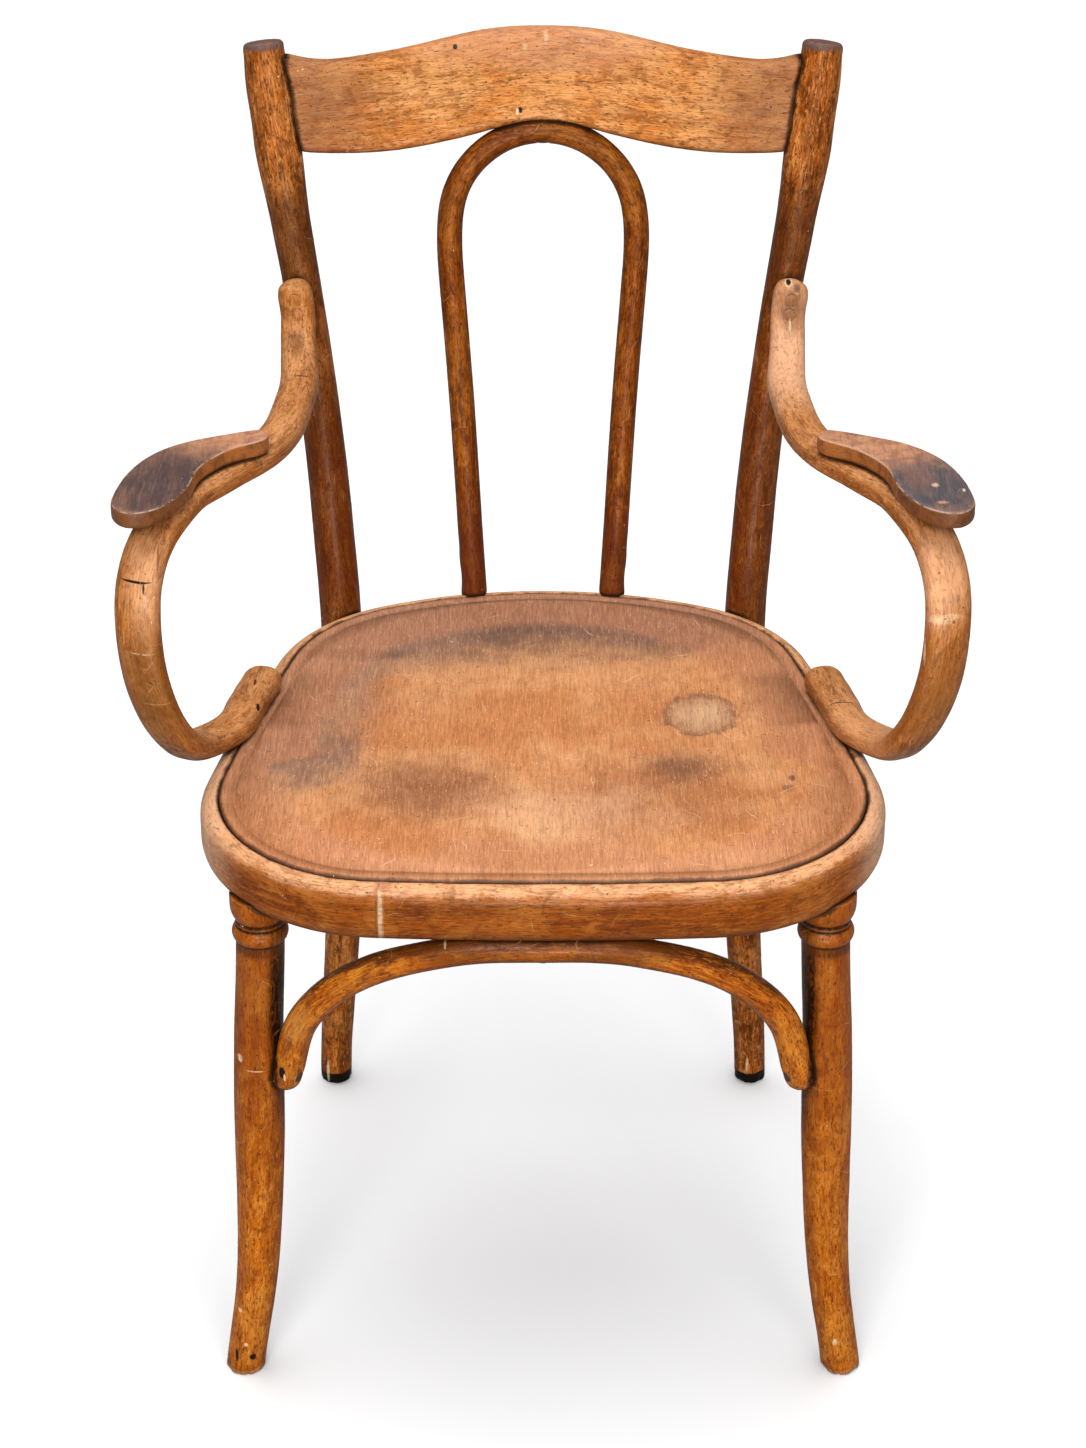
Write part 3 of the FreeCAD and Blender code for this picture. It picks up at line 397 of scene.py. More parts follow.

# %% [markdown]
# ## The varnished beech
# The bent members were stained a warm orange-brown and varnished. A century of hands has polished some
# places pale, and dirt has settled beside every joint. Hollows, undersides, the flanks of round members
# and the joints are also darkened with painted shade. One function builds the finish, and each kind of
# member gives it its own three browns and its own share of wear.

# %% Beech finish


def finish(name):
    """A material with its tree, the shader to fill, and the two sets of coordinates."""
    made = bpy.data.materials.new(name)
    made.use_nodes = True
    tree = made.node_tree
    shader = tree.nodes["Principled BSDF"]
    place = add(tree, "ShaderNodeTexCoord").outputs["Object"]
    grain = add(tree, "ShaderNodeAttribute", attribute_name="grain").outputs["Vector"]
    return made, tree, shader, place, grain


def noted(tree, name):
    """A number that the weathering wrote on the surface under that name."""
    return add(tree, "ShaderNodeAttribute", attribute_name=name).outputs["Fac"]


def feed(tree, shader, **values):
    """Link values to the shader's sockets of those names."""
    for key, value in values.items():
        tree.links.new(value, shader.inputs[key.replace("_", " ")])


def relief(tree, shader, height, depth):
    """Feed a height to the shader as bump, depth metres high where it is 1."""
    bump = add(tree, "ShaderNodeBump", {"Height": height, "Distance": depth, "Strength": 1.0})
    feed(tree, shader, Normal=bump.outputs["Normal"])


def stains(tree, place, colour, marks, broken):
    """Lay each mark of (centre, reach, colour, strength, softness, raggedness) over the colour."""
    for centre, reach, shade, strength, soft, ragged in marks:
        inside = use(tree, spot, Place=place, Centre=centre, Reach=reach, Soft=soft, Ragged=ragged)["Inside"]
        amount = calc(tree, "MULTIPLY", calc(tree, "MULTIPLY", inside, strength), broken, clamp=True)
        colour = paint(tree, amount, colour, tint(shade))
    return colour


def beech(name, dark, mid, pale, seed, marks, gloss=0.36, worn=0.5, dirt=0.5, patchy=0.5, lines=0.3,
          nicks=0.8, flecked=0.65, curly=0.6, varnish=0.18, crown=("#d39a60", 0.0, 0.3),
          edge=("#d39a60", 0.2), sides=0.4):
    """Varnished beech in three browns, with a share for each kind of wear and sides, the share of painted
    shade on its flanks.

    The crown has a colour, a share and how far up a face must look. The edge has a colour and a share.
    """
    made, tree, shader, place, grain = finish(name)
    grime_and_shade = "#2e160a"
    figure = use(tree, beech_figure, Grain=grain, Seed=seed)
    dirty = use(tree, grime, Place=place, Size=0.06, Seed=seed)
    cut = use(tree, scratches, Place=place, Spacing=0.018, Width=0.016, Chance=lines, Seed=seed)["Scratch"]
    proud = noted(tree, "proud")
    faces = add(tree, "ShaderNodeSeparateXYZ", {0: add(tree, "ShaderNodeTexCoord").outputs["Normal"]}).outputs
    flank = calc(tree, "ABSOLUTE", faces["X"])
    upper = swayed(tree, faces["Z"], figure["Patches"], 1.6)
    rubbed = some(tree, dirty["Cloud"], 0.44, 0.62, worn)
    patched = some(tree, figure["Patches"], 0.50, 0.62, patchy)
    soiled = some(tree, dirty["Mottle"], 0.52, 0.68, dirt)
    # Beside every joint the wood darkens: dirt, and painted contact shade.
    joint = some(tree, swayed(tree, noted(tree, "near"), dirty["Mottle"], 0.4), 0.78, 1.0, 0.85)
    colour = paint(tree, some(tree, figure["Bands"], 0.40, 0.68, 0.55), tint(mid), tint(dark))
    # Hands and backs rub the front pale. Faces that look to either side take the dark colour, painted shade
    # that darkens each member towards its flanks.
    colour = laid(
        tree, colour,
        (rubbed, pale),
        (some(tree, flank, 0.35, 0.95, sides), dark),
        # Faces that look up take the crown colour; on the seat ring this pale top is painted light from
        # above.
        (some(tree, upper, crown[2], crown[2] + 0.4, crown[1]), crown[0]),
        (patched, dark),
        (some(tree, figure["Patches"], 0.45, 0.36, patchy * 0.8), pale),
        (some(tree, figure["Fibres"], 0.46, 0.70, 0.50), dark),
        (some(tree, figure["Fibres"], 0.48, 0.30, 0.35), pale),
        (some(tree, figure["Strokes"], 0.545, 0.62, curly), dark),
        (some(tree, figure["Strokes"], 0.44, 0.36, curly * 0.7), pale),
        (soiled, dark),
        (calc(tree, "MULTIPLY", figure["Flecks"], flecked), grime_and_shade),
        # Proud arrises take the edge colour: pale wear on most members, painted shade on the crest.
        (some(tree, proud, 0.35, 1.2, edge[1]), edge[0]))
    colour = stains(tree, place, colour, marks, fade(tree, figure["Strokes"], 0.60, 0.44, 0.55, 1.0))
    # Painted shade darkens hollows and undersides, dirt and painted contact shade darken the wood beside
    # every joint, and scratches cut through it.
    colour = laid(
        tree, colour,
        (some(tree, proud, -0.25, -1.1, 0.85), grime_and_shade),
        (some(tree, faces["Z"], -0.35, -0.85, 0.6), grime_and_shade),
        (joint, "#1f0f07"),
        (calc(tree, "MULTIPLY", cut, 0.4), "#dba874"),
        (calc(tree, "MULTIPLY", dirty["Dark specks"], 0.75), "#241208"),
        (calc(tree, "MULTIPLY", dirty["Pale specks"], nicks), "#efd3a6"))
    filthy = calc(tree, "MAXIMUM", soiled, joint)
    rough = total(tree, (rubbed, 0.12), (patched, 0.12), (filthy, 0.22), start=gloss)
    dull = calc(tree, "ADD", filthy, fade(tree, figure["Strokes"], 0.5, 0.62))
    whole = calc(tree, "SUBTRACT", 1.0, dull, clamp=True)
    feed(tree, shader, Base_Color=colour, Roughness=rough, Coat_Weight=calc(tree, "MULTIPLY", whole, varnish))
    height = total(tree, (figure["Patches"], 0.8), (cut, -0.4), (dirty["Mottle"], 0.7),
                   (dirty["Pale specks"], -0.4), (figure["Flecks"], -0.3))
    relief(tree, shader, height, 0.0006)
    shader.inputs["Coat Roughness"].default_value = 0.24
    shader.inputs["Specular IOR Level"].default_value = 0.20
    shader.inputs["Specular Tint"].default_value = (1.0, 0.72, 0.48, 1.0)
    return made


# %% [markdown]
# ## This chair's own marks
# Varnish wears where hands and feet meet it, and every knock leaves a nick, a crack or a rubbed place of
# its own. Each mark is a soft, ragged blot in space that colours whatever wood it touches, so one list
# serves a whole member. Joints and feet wear alike on both sides, so their marks come in pairs. A few
# marks paint light and shade instead: dark bands in the legs' turned grooves, a dark streak on each leg
# beside the brace, the darker top of each leg, and pale patches on the arms that stand for highlights.

# %% Marks on the back and the legs
CREAM, BLACK, GROOVE_SHADE = "#ecd3ab", "#120905", "#1e0c04"


def both(x, y, z):
    """A place on the right side of the chair, and the same place on the left."""
    return (x, y, z), (-x, y, z)


def pair(centre, *look):
    """A mark of (centre, reach, colour, strength, softness, raggedness) in metres, on both sides."""
    return [(place, *look) for place in both(*centre)]


post_marks = [
    *pair((0.160, 0.175, 0.530), (0.05, 0.08, 0.15), "#4c1800", 0.85, 0.6, 0.4),
    *pair((0.209, 0.252, 0.884), (0.03, 0.03, 0.0085), "#5c4a48", 1.0, 0.12, 0.35),
    *pair((0.190, 0.215, 0.730), (0.03, 0.05, 0.05), "#3d1804", 0.8, 0.5, 0.5),
    *pair((0.175, 0.184, 0.000), (0.03, 0.03, 0.012), "#0a0706", 2.0, 0.10, 0.9),
    ((-0.1803, 0.1720, 0.013), (0.0011, 0.01, 0.011), CREAM, 0.8, 0.4, 0.7),
    ((0.171, 0.171, 0.020), (0.0011, 0.01, 0.007), CREAM, 0.7, 0.4, 0.5)]
leg_marks = [
    # Each leg darkens towards its top, painted shade under the seat ring.
    *pair((0.201, -0.199, 0.38), (0.06, 0.06, 0.17), "#702c04", 0.6, 0.6, 0.4),
    # The dark streak on the inner side of each leg, beside the brace, is painted shadow.
    *pair((0.183, -0.203, 0.315), (0.009, 0.03, 0.085), "#1c0b04", 1.3, 0.5, 0.6),
    *pair((0.223, -0.194, 0.0), (0.03, 0.03, 0.005), "#9c7c5c", 0.6, 0.3, 1.6),
    # These four thin dark bands in the turned grooves under the seat are painted shade.
    *pair((0.201, -0.199, 0.3955), (0.05, 0.05, 0.0012), GROOVE_SHADE, 1.3, 0.5, 0.3),
    *pair((0.201, -0.199, 0.3993), (0.05, 0.05, 0.0017), GROOVE_SHADE, 1.3, 0.5, 0.3),
    *pair((0.201, -0.199, 0.3830), (0.05, 0.05, 0.0016), "#2a1206", 1.1, 0.5, 0.35),
    *pair((0.201, -0.199, 0.3790), (0.05, 0.05, 0.0045), "#4a2008", 0.9, 0.6, 0.5),
    ((-0.2032, -0.2165, 0.2801), (0.006, 0.02, 0.0006), CREAM, 0.6, 0.4, 0.6),
    ((-0.2139, -0.2111, 0.2884), (0.0018, 0.01, 0.0030), CREAM, 0.8, 0.4, 0.9),
    ((-0.2277, -0.2069, 0.0188), (0.0012, 0.01, 0.0050), BLACK, 1.6, 0.3, 0.8),
    ((-0.2157, -0.2084, 0.0182), (0.0024, 0.01, 0.0026), BLACK, 1.6, 0.3, 1.2),
    ((-0.2237, -0.2068, 0.0609), (0.0014, 0.01, 0.0018), CREAM, 0.8, 0.3, 1.0),
    ((-0.2204, -0.2093, 0.0303), (0.0016, 0.01, 0.0016), CREAM, 0.8, 0.3, 1.0),
    ((0.2165, -0.2084, 0.0330), (0.0016, 0.01, 0.0030), CREAM, 0.8, 0.3, 1.0)]
crest_marks = [
    *pair((0.19, 0.24, 0.832), (0.055, 0.06, 0.07), "#7d4a32", 0.7, 0.6, 1.2),
    ((0.0, 0.250, 0.880), (0.09, 0.06, 0.02), "#c98f6c", 0.6, 0.6, 0.8),
    ((-0.0651, 0.2505, 0.8752), (0.0016, 0.01, 0.0018), BLACK, 1.8, 0.3, 0.3),
    ((-0.0171, 0.2423, 0.8294), (0.0016, 0.01, 0.0020), BLACK, 1.8, 0.3, 0.3),
    ((-0.0190, 0.2419, 0.8280), (0.0011, 0.01, 0.0026), CREAM, 0.9, 0.3, 0.6),
    ((-0.0133, 0.2514, 0.8749), (0.0018, 0.01, 0.0018), CREAM, 0.5, 0.5, 0.8),
    ((0.0022, 0.2539, 0.8815), (0.0013, 0.01, 0.0048), CREAM, 0.4, 0.7, 3.0)]
hoop_marks = pair((0.055, 0.187, 0.475), (0.03, 0.03, 0.05), "#5a2010", 0.65, 0.5, 0.6)
print(len(post_marks) + len(leg_marks) + len(crest_marks) + len(hoop_marks), "marks")

# %% Marks on the arms, the seat ring and the brace
arm_marks = [
    ((-0.2645, -0.154, 0.553), (0.022, 0.03, 0.050), "#6f4012", 0.75, 0.6, 1.0),
    # This pale patch and the one two rows down are painted highlights on the right arm.
    ((0.1830, 0.140, 0.670), (0.03, 0.06, 0.06), "#e4ae88", 0.8, 0.6, 0.6),
    ((0.2700, -0.140, 0.545), (0.03, 0.03, 0.035), "#7c481e", 0.6, 0.6, 0.9),
    ((0.2700, -0.130, 0.625), (0.02, 0.03, 0.030), "#e0a880", 0.6, 0.6, 0.9),
    ((0.2790, -0.140, 0.6010), (0.0012, 0.01, 0.0012), BLACK, 1.6, 0.3, 0.4),
    ((0.2720, -0.140, 0.6030), (0.0090, 0.02, 0.0030), "#ecc69c", 0.6, 0.5, 2.4),
    ((0.2600, -0.150, 0.5800), (0.0006, 0.02, 0.0080), CREAM, 0.5, 0.4, 1.6),
    ((0.2400, -0.080, 0.480), (0.04, 0.05, 0.02), "#d89a6a", 0.7, 0.6, 0.8),
    ((-0.2620, -0.133, 0.6360), (0.0007, 0.02, 0.0110), BLACK, 1.3, 0.4, 1.6),
    ((-0.2640, -0.133, 0.6500), (0.0006, 0.02, 0.0050), BLACK, 1.4, 0.4, 1.2),
    ((-0.2800, -0.133, 0.6480), (0.0030, 0.02, 0.0007), BLACK, 1.3, 0.4, 1.2),
    # This pale patch on the left arm's curl is a painted highlight.
    ((-0.2700, -0.140, 0.6300), (0.0120, 0.03, 0.0350), "#dda478", 0.55, 0.7, 0.8),
    ((-0.2768, -0.133, 0.6243), (0.0100, 0.02, 0.0007), BLACK, 1.8, 0.25, 0.5),
    ((-0.2712, -0.133, 0.6210), (0.0008, 0.02, 0.0030), BLACK, 1.4, 0.4, 0.9),
    ((-0.2740, -0.154, 0.5800), (0.0080, 0.02, 0.0006), CREAM, 0.35, 0.4, 2.6),
    ((-0.2644, -0.155, 0.5417), (0.0100, 0.02, 0.0005), CREAM, 0.22, 0.5, 0.9),
    ((-0.1833, 0.160, 0.6753), (0.0050, 0.02, 0.0070), "#6f4218", 0.7, 0.5, 1.2),
    ((-0.1781, 0.119, 0.6680), (0.0050, 0.0008, 0.02), BLACK, 1.3, 0.4, 0.8),
    ((-0.2067, -0.032, 0.4729), (0.0011, 0.0040, 0.006), BLACK, 1.6, 0.3, 0.6),
    ((-0.2110, 0.000, 0.4762), (0.0010, 0.0050, 0.006), BLACK, 1.4, 0.3, 0.6),
    ((0.1855, 0.178, 0.6960), (0.0085, 0.02, 0.0150), "#5a3014", 0.75, 0.6, 1.0),
    ((0.1846, 0.175, 0.6850), (0.0008, 0.02, 0.0045), CREAM, 0.6, 0.4, 0.8),
    ((0.1833, 0.188, 0.7140), (0.0030, 0.006, 0.0030), CREAM, 0.6, 0.3, 0.6),
    ((0.1833, 0.188, 0.7140), (0.0017, 0.004, 0.0020), BLACK, 1.8, 0.3, 0.4),
    ((0.1895, 0.184, 0.7110), (0.0026, 0.004, 0.0030), "#3a2c28", 0.85, 0.5, 0.7),
    ((0.2161, -0.031, 0.4763), (0.0090, 0.0006, 0.02), BLACK, 1.4, 0.4, 0.9)]
ring_marks = [
    *pair((0.248, -0.14, 0.445), (0.03, 0.10, 0.05), "#e2b08a", 0.85, 0.6, 0.6),
    ((-0.1097, -0.257, 0.434), (0.0017, 0.02, 0.0240), "#dcc09c", 0.75, 0.7, 2.4),
    ((-0.1080, -0.250, 0.4560), (0.0060, 0.01, 0.0030), "#9a5a3c", 0.7, 0.4, 0.9)]
brace_marks = [
    *pair((0.045, -0.245, 0.404), (0.05, 0.02, 0.016), "#5e2c08", 0.8, 0.5, 0.6),
    *pair((0.1905, -0.212, 0.275), (0.004, 0.02, 0.030), "#1c0b04", 1.2, 0.5, 0.8),
    ((-0.0667, -0.248, 0.4063), (0.0008, 0.01, 0.0022), CREAM, 0.6, 0.4, 0.7),
    ((-0.1839, -0.2202, 0.2818), (0.0022, 0.01, 0.0044), BLACK, 1.8, 0.2, 0.4),
    ((-0.1822, -0.2202, 0.2780), (0.0008, 0.01, 0.0030), CREAM, 0.7, 0.3, 0.6),
    ((-0.1720, -0.2210, 0.3300), (0.0120, 0.02, 0.0200), "#c98a3e", 0.5, 0.6, 1.0)]
print(len(arm_marks) + len(ring_marks) + len(brace_marks), "more marks")

# %% The woods
wood = {
    "arm": beech("beech_arms", "#753c12", "#b46c2c", "#d6965c", 3.0, arm_marks, worn=0.6, patchy=0.6,
                 lines=0.6, flecked=0.4, curly=0.55, crown=("#c88e5e", 0.4, 0.3), sides=0.6),
    "post": beech("beech_posts", "#542400", "#b05c18", "#e0924c", 7.0, post_marks, gloss=0.34, worn=0.4,
                  patchy=0.85, curly=0.8, varnish=0.08, crown=("#8a5a3e", 0.35, 0.6), edge=("#b0621c", 0.3),
                  sides=0.5),
    "leg": beech("beech_legs", "#7a3400", "#c06608", "#dc8e34", 11.0, leg_marks, gloss=0.33, worn=0.4,
                 patchy=0.75, lines=0.4, nicks=1.0, curly=0.65),
    # The crest's dark edge colour is painted shade along its arrises.
    "crest": beech("beech_crest", "#84460f", "#d48036", "#eaae6e", 17.0, crest_marks, gloss=0.40, patchy=0.65,
                   varnish=0.1, edge=("#5a2c10", 0.6), sides=0.0),
    "hoop": beech("beech_hoop", "#461800", "#843f08", "#b86e22", 23.0, hoop_marks, gloss=0.34, worn=0.4,
                  patchy=0.6, varnish=0.05, edge=("#9a4c0c", 0.3), sides=0.6),
    # The ring's pale crown is painted light on its upward faces.
    "ring": beech("beech_ring", "#5a2200", "#8c4200", "#b66c28", 29.0, ring_marks, curly=0.4, flecked=0.5,
                  varnish=0.15, crown=("#e6a97c", 0.9, 0.35), sides=0.0),
    "brace": beech("beech_brace", "#632600", "#b45800", "#e09030", 31.0, brace_marks, gloss=0.33, worn=0.4,
                   patchy=0.6, crown=("#44200e", 0.95, 0.38), sides=0.0),
}
print("beech finishes:", ", ".join(sorted(wood)))

# %% [markdown]
# ## The plywood seat
# The seat is a thin dished board. Its face veneer runs from front to back, with a fine dense grain.
# The middle has been sat orange and clean, the back and the left side are grey-brown with dirt, and
# one spot has lost its varnish altogether. Those places are this chair's own, so they are laid down
# one by one, by their place on the seat.

# %% Seat finish


def flat_marks(height, rows):
    """Marks on a level face, from rows of (x, y, reach along x, reach along y, and a mark's look)."""
    through = 0.1
    return [((x, y, height), (wide, deep, through), *look) for x, y, wide, deep, *look in rows]


seat_top = 0.457
seat_marks = flat_marks(seat_top, (
    (0.0, 0.185, 0.30, 0.095, "#523a30", 1.00, 0.5, 0.9),
    (-0.140, 0.120, 0.090, 0.060, "#7e5e50", 0.90, 0.6, 1.0),
    (0.095, 0.135, 0.080, 0.045, "#6c4c40", 0.90, 0.6, 1.2),
    (-0.21, 0.03, 0.085, 0.15, "#96705a", 0.80, 0.4, 1.0),
    (-0.165, -0.075, 0.034, 0.045, "#72564a", 0.65, 0.4, 1.2),
    (-0.142, 0.080, 0.040, 0.009, "#4d3a32", 0.75, 0.5, 1.0),
    (0.210, 0.035, 0.05, 0.09, "#9c7256", 0.60, 0.45, 1.0),
    (-0.080, -0.122, 0.05, 0.040, "#85502f", 0.75, 0.6, 1.0),
    (0.080, -0.130, 0.06, 0.050, "#8c5634", 0.45, 0.7, 1.0),
    (0.012, -0.158, 0.060, 0.040, "#dcb08c", 0.32, 0.7, 2.6),
    (0.099, -0.091, 0.022, 0.018, "#5a3826", 0.75, 0.9, 1.2),
    (0.1763, -0.1085, 0.0022, 0.0042, "#3a2a26", 0.90, 0.4, 0.8),
    (0.1726, -0.1228, 0.0040, 0.0050, "#6b4636", 0.70, 0.4, 1.4)))
bare_centre = (0.1150, -0.0125, seat_top)
seat_finish, tree, shader, place, grain = finish("plywood_seat")
fibre = streaks(tree, place, (900.0, 62.0, 900.0), 3.0, 0.65, 0.2)
vein = streaks(tree, place, (190.0, 15.0, 190.0), 3.0, 0.6, 0.3)
stroke = streaks(tree, place, (1150.0, 230.0, 1150.0), 2.0, 0.55, 0.8)
dirty = use(tree, grime, Place=place, Size=0.09, Seed=41.0)
scratch = use(tree, scratches, Place=place, Spacing=0.022, Width=0.014, Chance=0.25, Seed=5.0)["Scratch"]
colour = paint(tree, fade(tree, dirty["Cloud"], 0.40, 0.62), tint("#bb7440"), tint("#cc8e5c"))
colour = laid(tree, colour, (some(tree, dirty["Mottle"], 0.45, 0.62, 0.35), "#a4622f"))
colour = stains(tree, place, colour, seat_marks, total(tree, (dirty["Mottle"], 0.80), start=0.60))
bare = use(tree, spot, Place=place, Centre=bare_centre, Reach=(0.0240, 0.028, 0.1), Soft=0.22, Ragged=0.7)
core = use(tree, spot, Place=place, Centre=bare_centre, Reach=(0.0175, 0.020, 0.1), Soft=0.6, Ragged=1.2)
stained_rim = calc(tree, "MULTIPLY", bare["Rim"], calc(tree, "MULTIPLY", dirty["Mottle"], 1.2), clamp=True)
colour = laid(tree, colour, (stained_rim, "#5c382c"))
faded = paint(tree, core["Inside"], tint("#9a6f50"), tint("#c79f78"))
colour = paint(tree, calc(tree, "MULTIPLY", bare["Inside"], 0.8), colour, faded)
near = noted(tree, "near")
colour = laid(
    tree, colour,
    (some(tree, near, 0.02, 0.16, 0.6), "#b4744e"),
    (some(tree, fibre, 0.44, 0.70, 0.34), "#5f3517"),
    (some(tree, fibre, 0.50, 0.32, 0.22), "#e2ac74"),
    (some(tree, vein, 0.46, 0.70, 0.22), "#7c451e"),
    (some(tree, stroke, 0.64, 0.72, 0.5), "#eac49a"),
    (some(tree, stroke, 0.34, 0.27, 0.6), "#40261a"),
    # Right at the ring the panel goes dark: dirt in the joint, and painted shadow of the gap.
    (some(tree, swayed(tree, near, dirty["Mottle"], 0.35), 0.78, 1.0, 0.8), "#2f1b10"),
    (calc(tree, "MULTIPLY", scratch, 0.45), "#ecc79a"),
    (calc(tree, "MULTIPLY", dirty["Dark specks"], 0.7), "#2d1a14"),
    (calc(tree, "MULTIPLY", dirty["Pale specks"], 0.8), "#f2dcb8"))
rough = total(tree, (bare["Inside"], 0.25), (dirty["Cloud"], 0.2), start=0.44)
feed(tree, shader, Base_Color=colour, Roughness=rough)
relief(tree, shader, total(tree, (fibre, 0.6), (dirty["Mottle"], 0.6), (bare["Inside"], -0.4)), 0.0004)
shader.inputs["Specular IOR Level"].default_value = 0.35
print("seat finish:", len(tree.nodes), "nodes")

# %% [markdown]
# ## The arm pads
# The flat pads take most of the handling. Their tops are nearly black where hands rest, and brown
# further back, while the sides kept their orange varnish. A thin pale line runs along the top edge,
# where the finish is rubbed through to the wood.

# %% Pad finish
pad_marks = flat_marks(0.675, (
    (-0.262, -0.050, 0.016, 0.030, "#7a5246", 0.80, 0.6, 1.0),
    (-0.255, -0.090, 0.050, 0.062, "#463230", 0.95, 0.5, 0.8),
    (-0.226, -0.078, 0.013, 0.034, "#14161c", 1.00, 0.6, 0.8),
    (0.270, -0.088, 0.038, 0.046, "#444147", 0.95, 0.5, 1.2),
    (0.258, -0.070, 0.010, 0.022, "#7d5648", 0.60, 0.5, 1.2),
    (0.226, 0.002, 0.012, 0.006, "#4d3228", 0.70, 0.5, 1.0),
    (0.2681, -0.0853, 0.0022, 0.0030, "#d8b48c", 0.80, 0.5, 2.2),
    (0.2871, -0.0934, 0.0011, 0.0024, "#e0c49c", 0.80, 0.4, 1.2),
    (0.2705, -0.1130, 0.0035, 0.0024, "#c08a70", 0.70, 0.5, 2.4),
    (-0.2350, -0.0640, 0.0060, 0.0020, "#c9a58c", 0.60, 0.5, 2.0)))
pad_finish, tree, shader, place, grain = finish("worn_pads")
facing = add(tree, "ShaderNodeNewGeometry").outputs["Normal"]
up = add(tree, "ShaderNodeSeparateXYZ", {0: facing}).outputs["Z"]
figure = use(tree, beech_figure, Grain=grain, Seed=4.0)
dirty = use(tree, grime, Place=place, Size=0.045, Seed=13.0)
scratch = use(tree, scratches, Place=place, Spacing=0.03, Chance=0.4, Seed=8.0)["Scratch"]
sides = paint(tree, fade(tree, dirty["Mottle"], 0.42, 0.68, 0.0, 0.7), tint("#9c5c28"), tint("#52290f"))
sides = laid(tree, sides, (some(tree, figure["Fibres"], 0.45, 0.7, 0.5), "#4a280f"))
side_marks = pair((0.265, -0.115, 0.670), (0.055, 0.030, 0.03), "#3a2014", 0.5, 0.6, 0.8)
sides = stains(tree, place, sides, side_marks, 1.0)
top = paint(tree, fade(tree, dirty["Mottle"], 0.38, 0.66), tint("#ba835e"), tint("#97644a"))
top = stains(tree, place, top, pad_marks, total(tree, (figure["Patches"], 1.0), start=0.5))
top = laid(tree, top, (some(tree, figure["Fibres"], 0.45, 0.70, 0.3), "#33221c"),
           (some(tree, figure["Fibres"], 0.47, 0.30, 0.18), "#a88474"))
arris = calc(tree, "MULTIPLY", fade(tree, up, 0.45, 0.65), fade(tree, up, 0.93, 0.78))
rubbed = calc(tree, "MULTIPLY", arris, fade(tree, dirty["Mottle"], 0.44, 0.54))
colour = laid(
    tree, paint(tree, fade(tree, up, 0.45, 0.75), sides, top),
    (calc(tree, "MULTIPLY", rubbed, 0.75), "#b39582"),
    # Where the pad meets the arm it is darkened: dirt, and painted contact shade.
    (some(tree, noted(tree, "near"), 0.75, 1.0, 0.7), "#26150c"),
    (calc(tree, "MULTIPLY", scratch, 0.35), "#c49a80"),
    (calc(tree, "MULTIPLY", dirty["Pale specks"], 0.8), "#f0e4d2"))
feed(tree, shader, Base_Color=colour, Roughness=total(tree, (dirty["Mottle"], 0.25), start=0.32))
relief(tree, shader, total(tree, (figure["Fibres"], 0.5), (dirty["Mottle"], 0.8)), 0.0005)
shader.inputs["Specular IOR Level"].default_value = 0.35
print("pad finish:", len(tree.nodes), "nodes")

# %% [markdown]
# ## Screws, bolts and nails
# The hardware is plain steel gone dull, with brown rust in patches. It keeps its exact meshes from the
# frame, because a screw's shape is already right, and only the finish changes.

# %% Steel finish
steel, tree, shader, place, grain = finish("dull_steel")
dirty = use(tree, grime, Place=place, Size=0.012, Seed=2.0)
rust = fade(tree, dirty["Mottle"], 0.45, 0.6)
feed(tree, shader, Base_Color=paint(tree, rust, tint("#6d675f"), tint("#4b2a17")),
     Metallic=total(tree, (rust, -0.8), start=0.95), Roughness=total(tree, (rust, 0.4), start=0.38))
relief(tree, shader, dirty["Mottle"], 0.0002)
hardware = [node for name, node in cad.items() if name.endswith(("s", "screw"))]
for node in hardware:
    node.data.materials.clear()
    node.data.materials.append(steel)
print("steel on", ", ".join(sorted(node.name for node in hardware)))

# %% [markdown]
# ## The middle lines
# Each line is a handful of points down the middle of a member, in metres. The curve through them only
# steers the grain, so it needs no more points than a chair maker's rod would. The left arm, leg and
# post are the right ones mirrored. The seat ring's line closes on itself, and starts where the ends of
# the bent strip are glued together, a little left of the middle of the front.

# %% Middle lines
arm_line = [(0.186, 0.195, 0.735), (0.186, 0.190, 0.700), (0.183, 0.168, 0.668), (0.180, 0.129, 0.659),
            (0.182, 0.092, 0.657), (0.195, 0.026, 0.654), (0.220, -0.014, 0.653), (0.247, -0.055, 0.653),
            (0.264, -0.091, 0.645), (0.276, -0.127, 0.614), (0.273, -0.144, 0.563), (0.261, -0.132, 0.513),
            (0.249, -0.097, 0.477), (0.221, -0.045, 0.466), (0.212, 0.000, 0.466), (0.204, 0.040, 0.466)]
post_line = [(0.175, 0.185, -0.010), (0.168, 0.180, 0.100), (0.160, 0.173, 0.250), (0.158, 0.165, 0.437),
             (0.169, 0.192, 0.600), (0.189, 0.222, 0.750), (0.209, 0.252, 0.900)]
leg_line = [(0.224, -0.194, -0.010), (0.210, -0.197, 0.100), (0.204, -0.198, 0.200), (0.201, -0.199, 0.300),
            (0.201, -0.199, 0.450)]
crest_line = [(-0.215, 0.236, 0.832), (-0.110, 0.249, 0.836), (0.000, 0.253, 0.846), (0.110, 0.249, 0.836),
              (0.215, 0.236, 0.832)]
pad_line = [(0.2, 0.03, 0.668), (0.2, -0.2, 0.668)]
seat_line = [(0.0, -0.3, 0.45), (0.0, 0.3, 0.45)]
hoop_side = [(0.052, 0.178, 0.425), (0.058, 0.197, 0.530), (0.062, 0.211, 0.608), (0.069, 0.228, 0.702),
             (0.070, 0.236, 0.741), (0.050, 0.245, 0.791)]
hoop_top = (0.0, 0.248, 0.812)
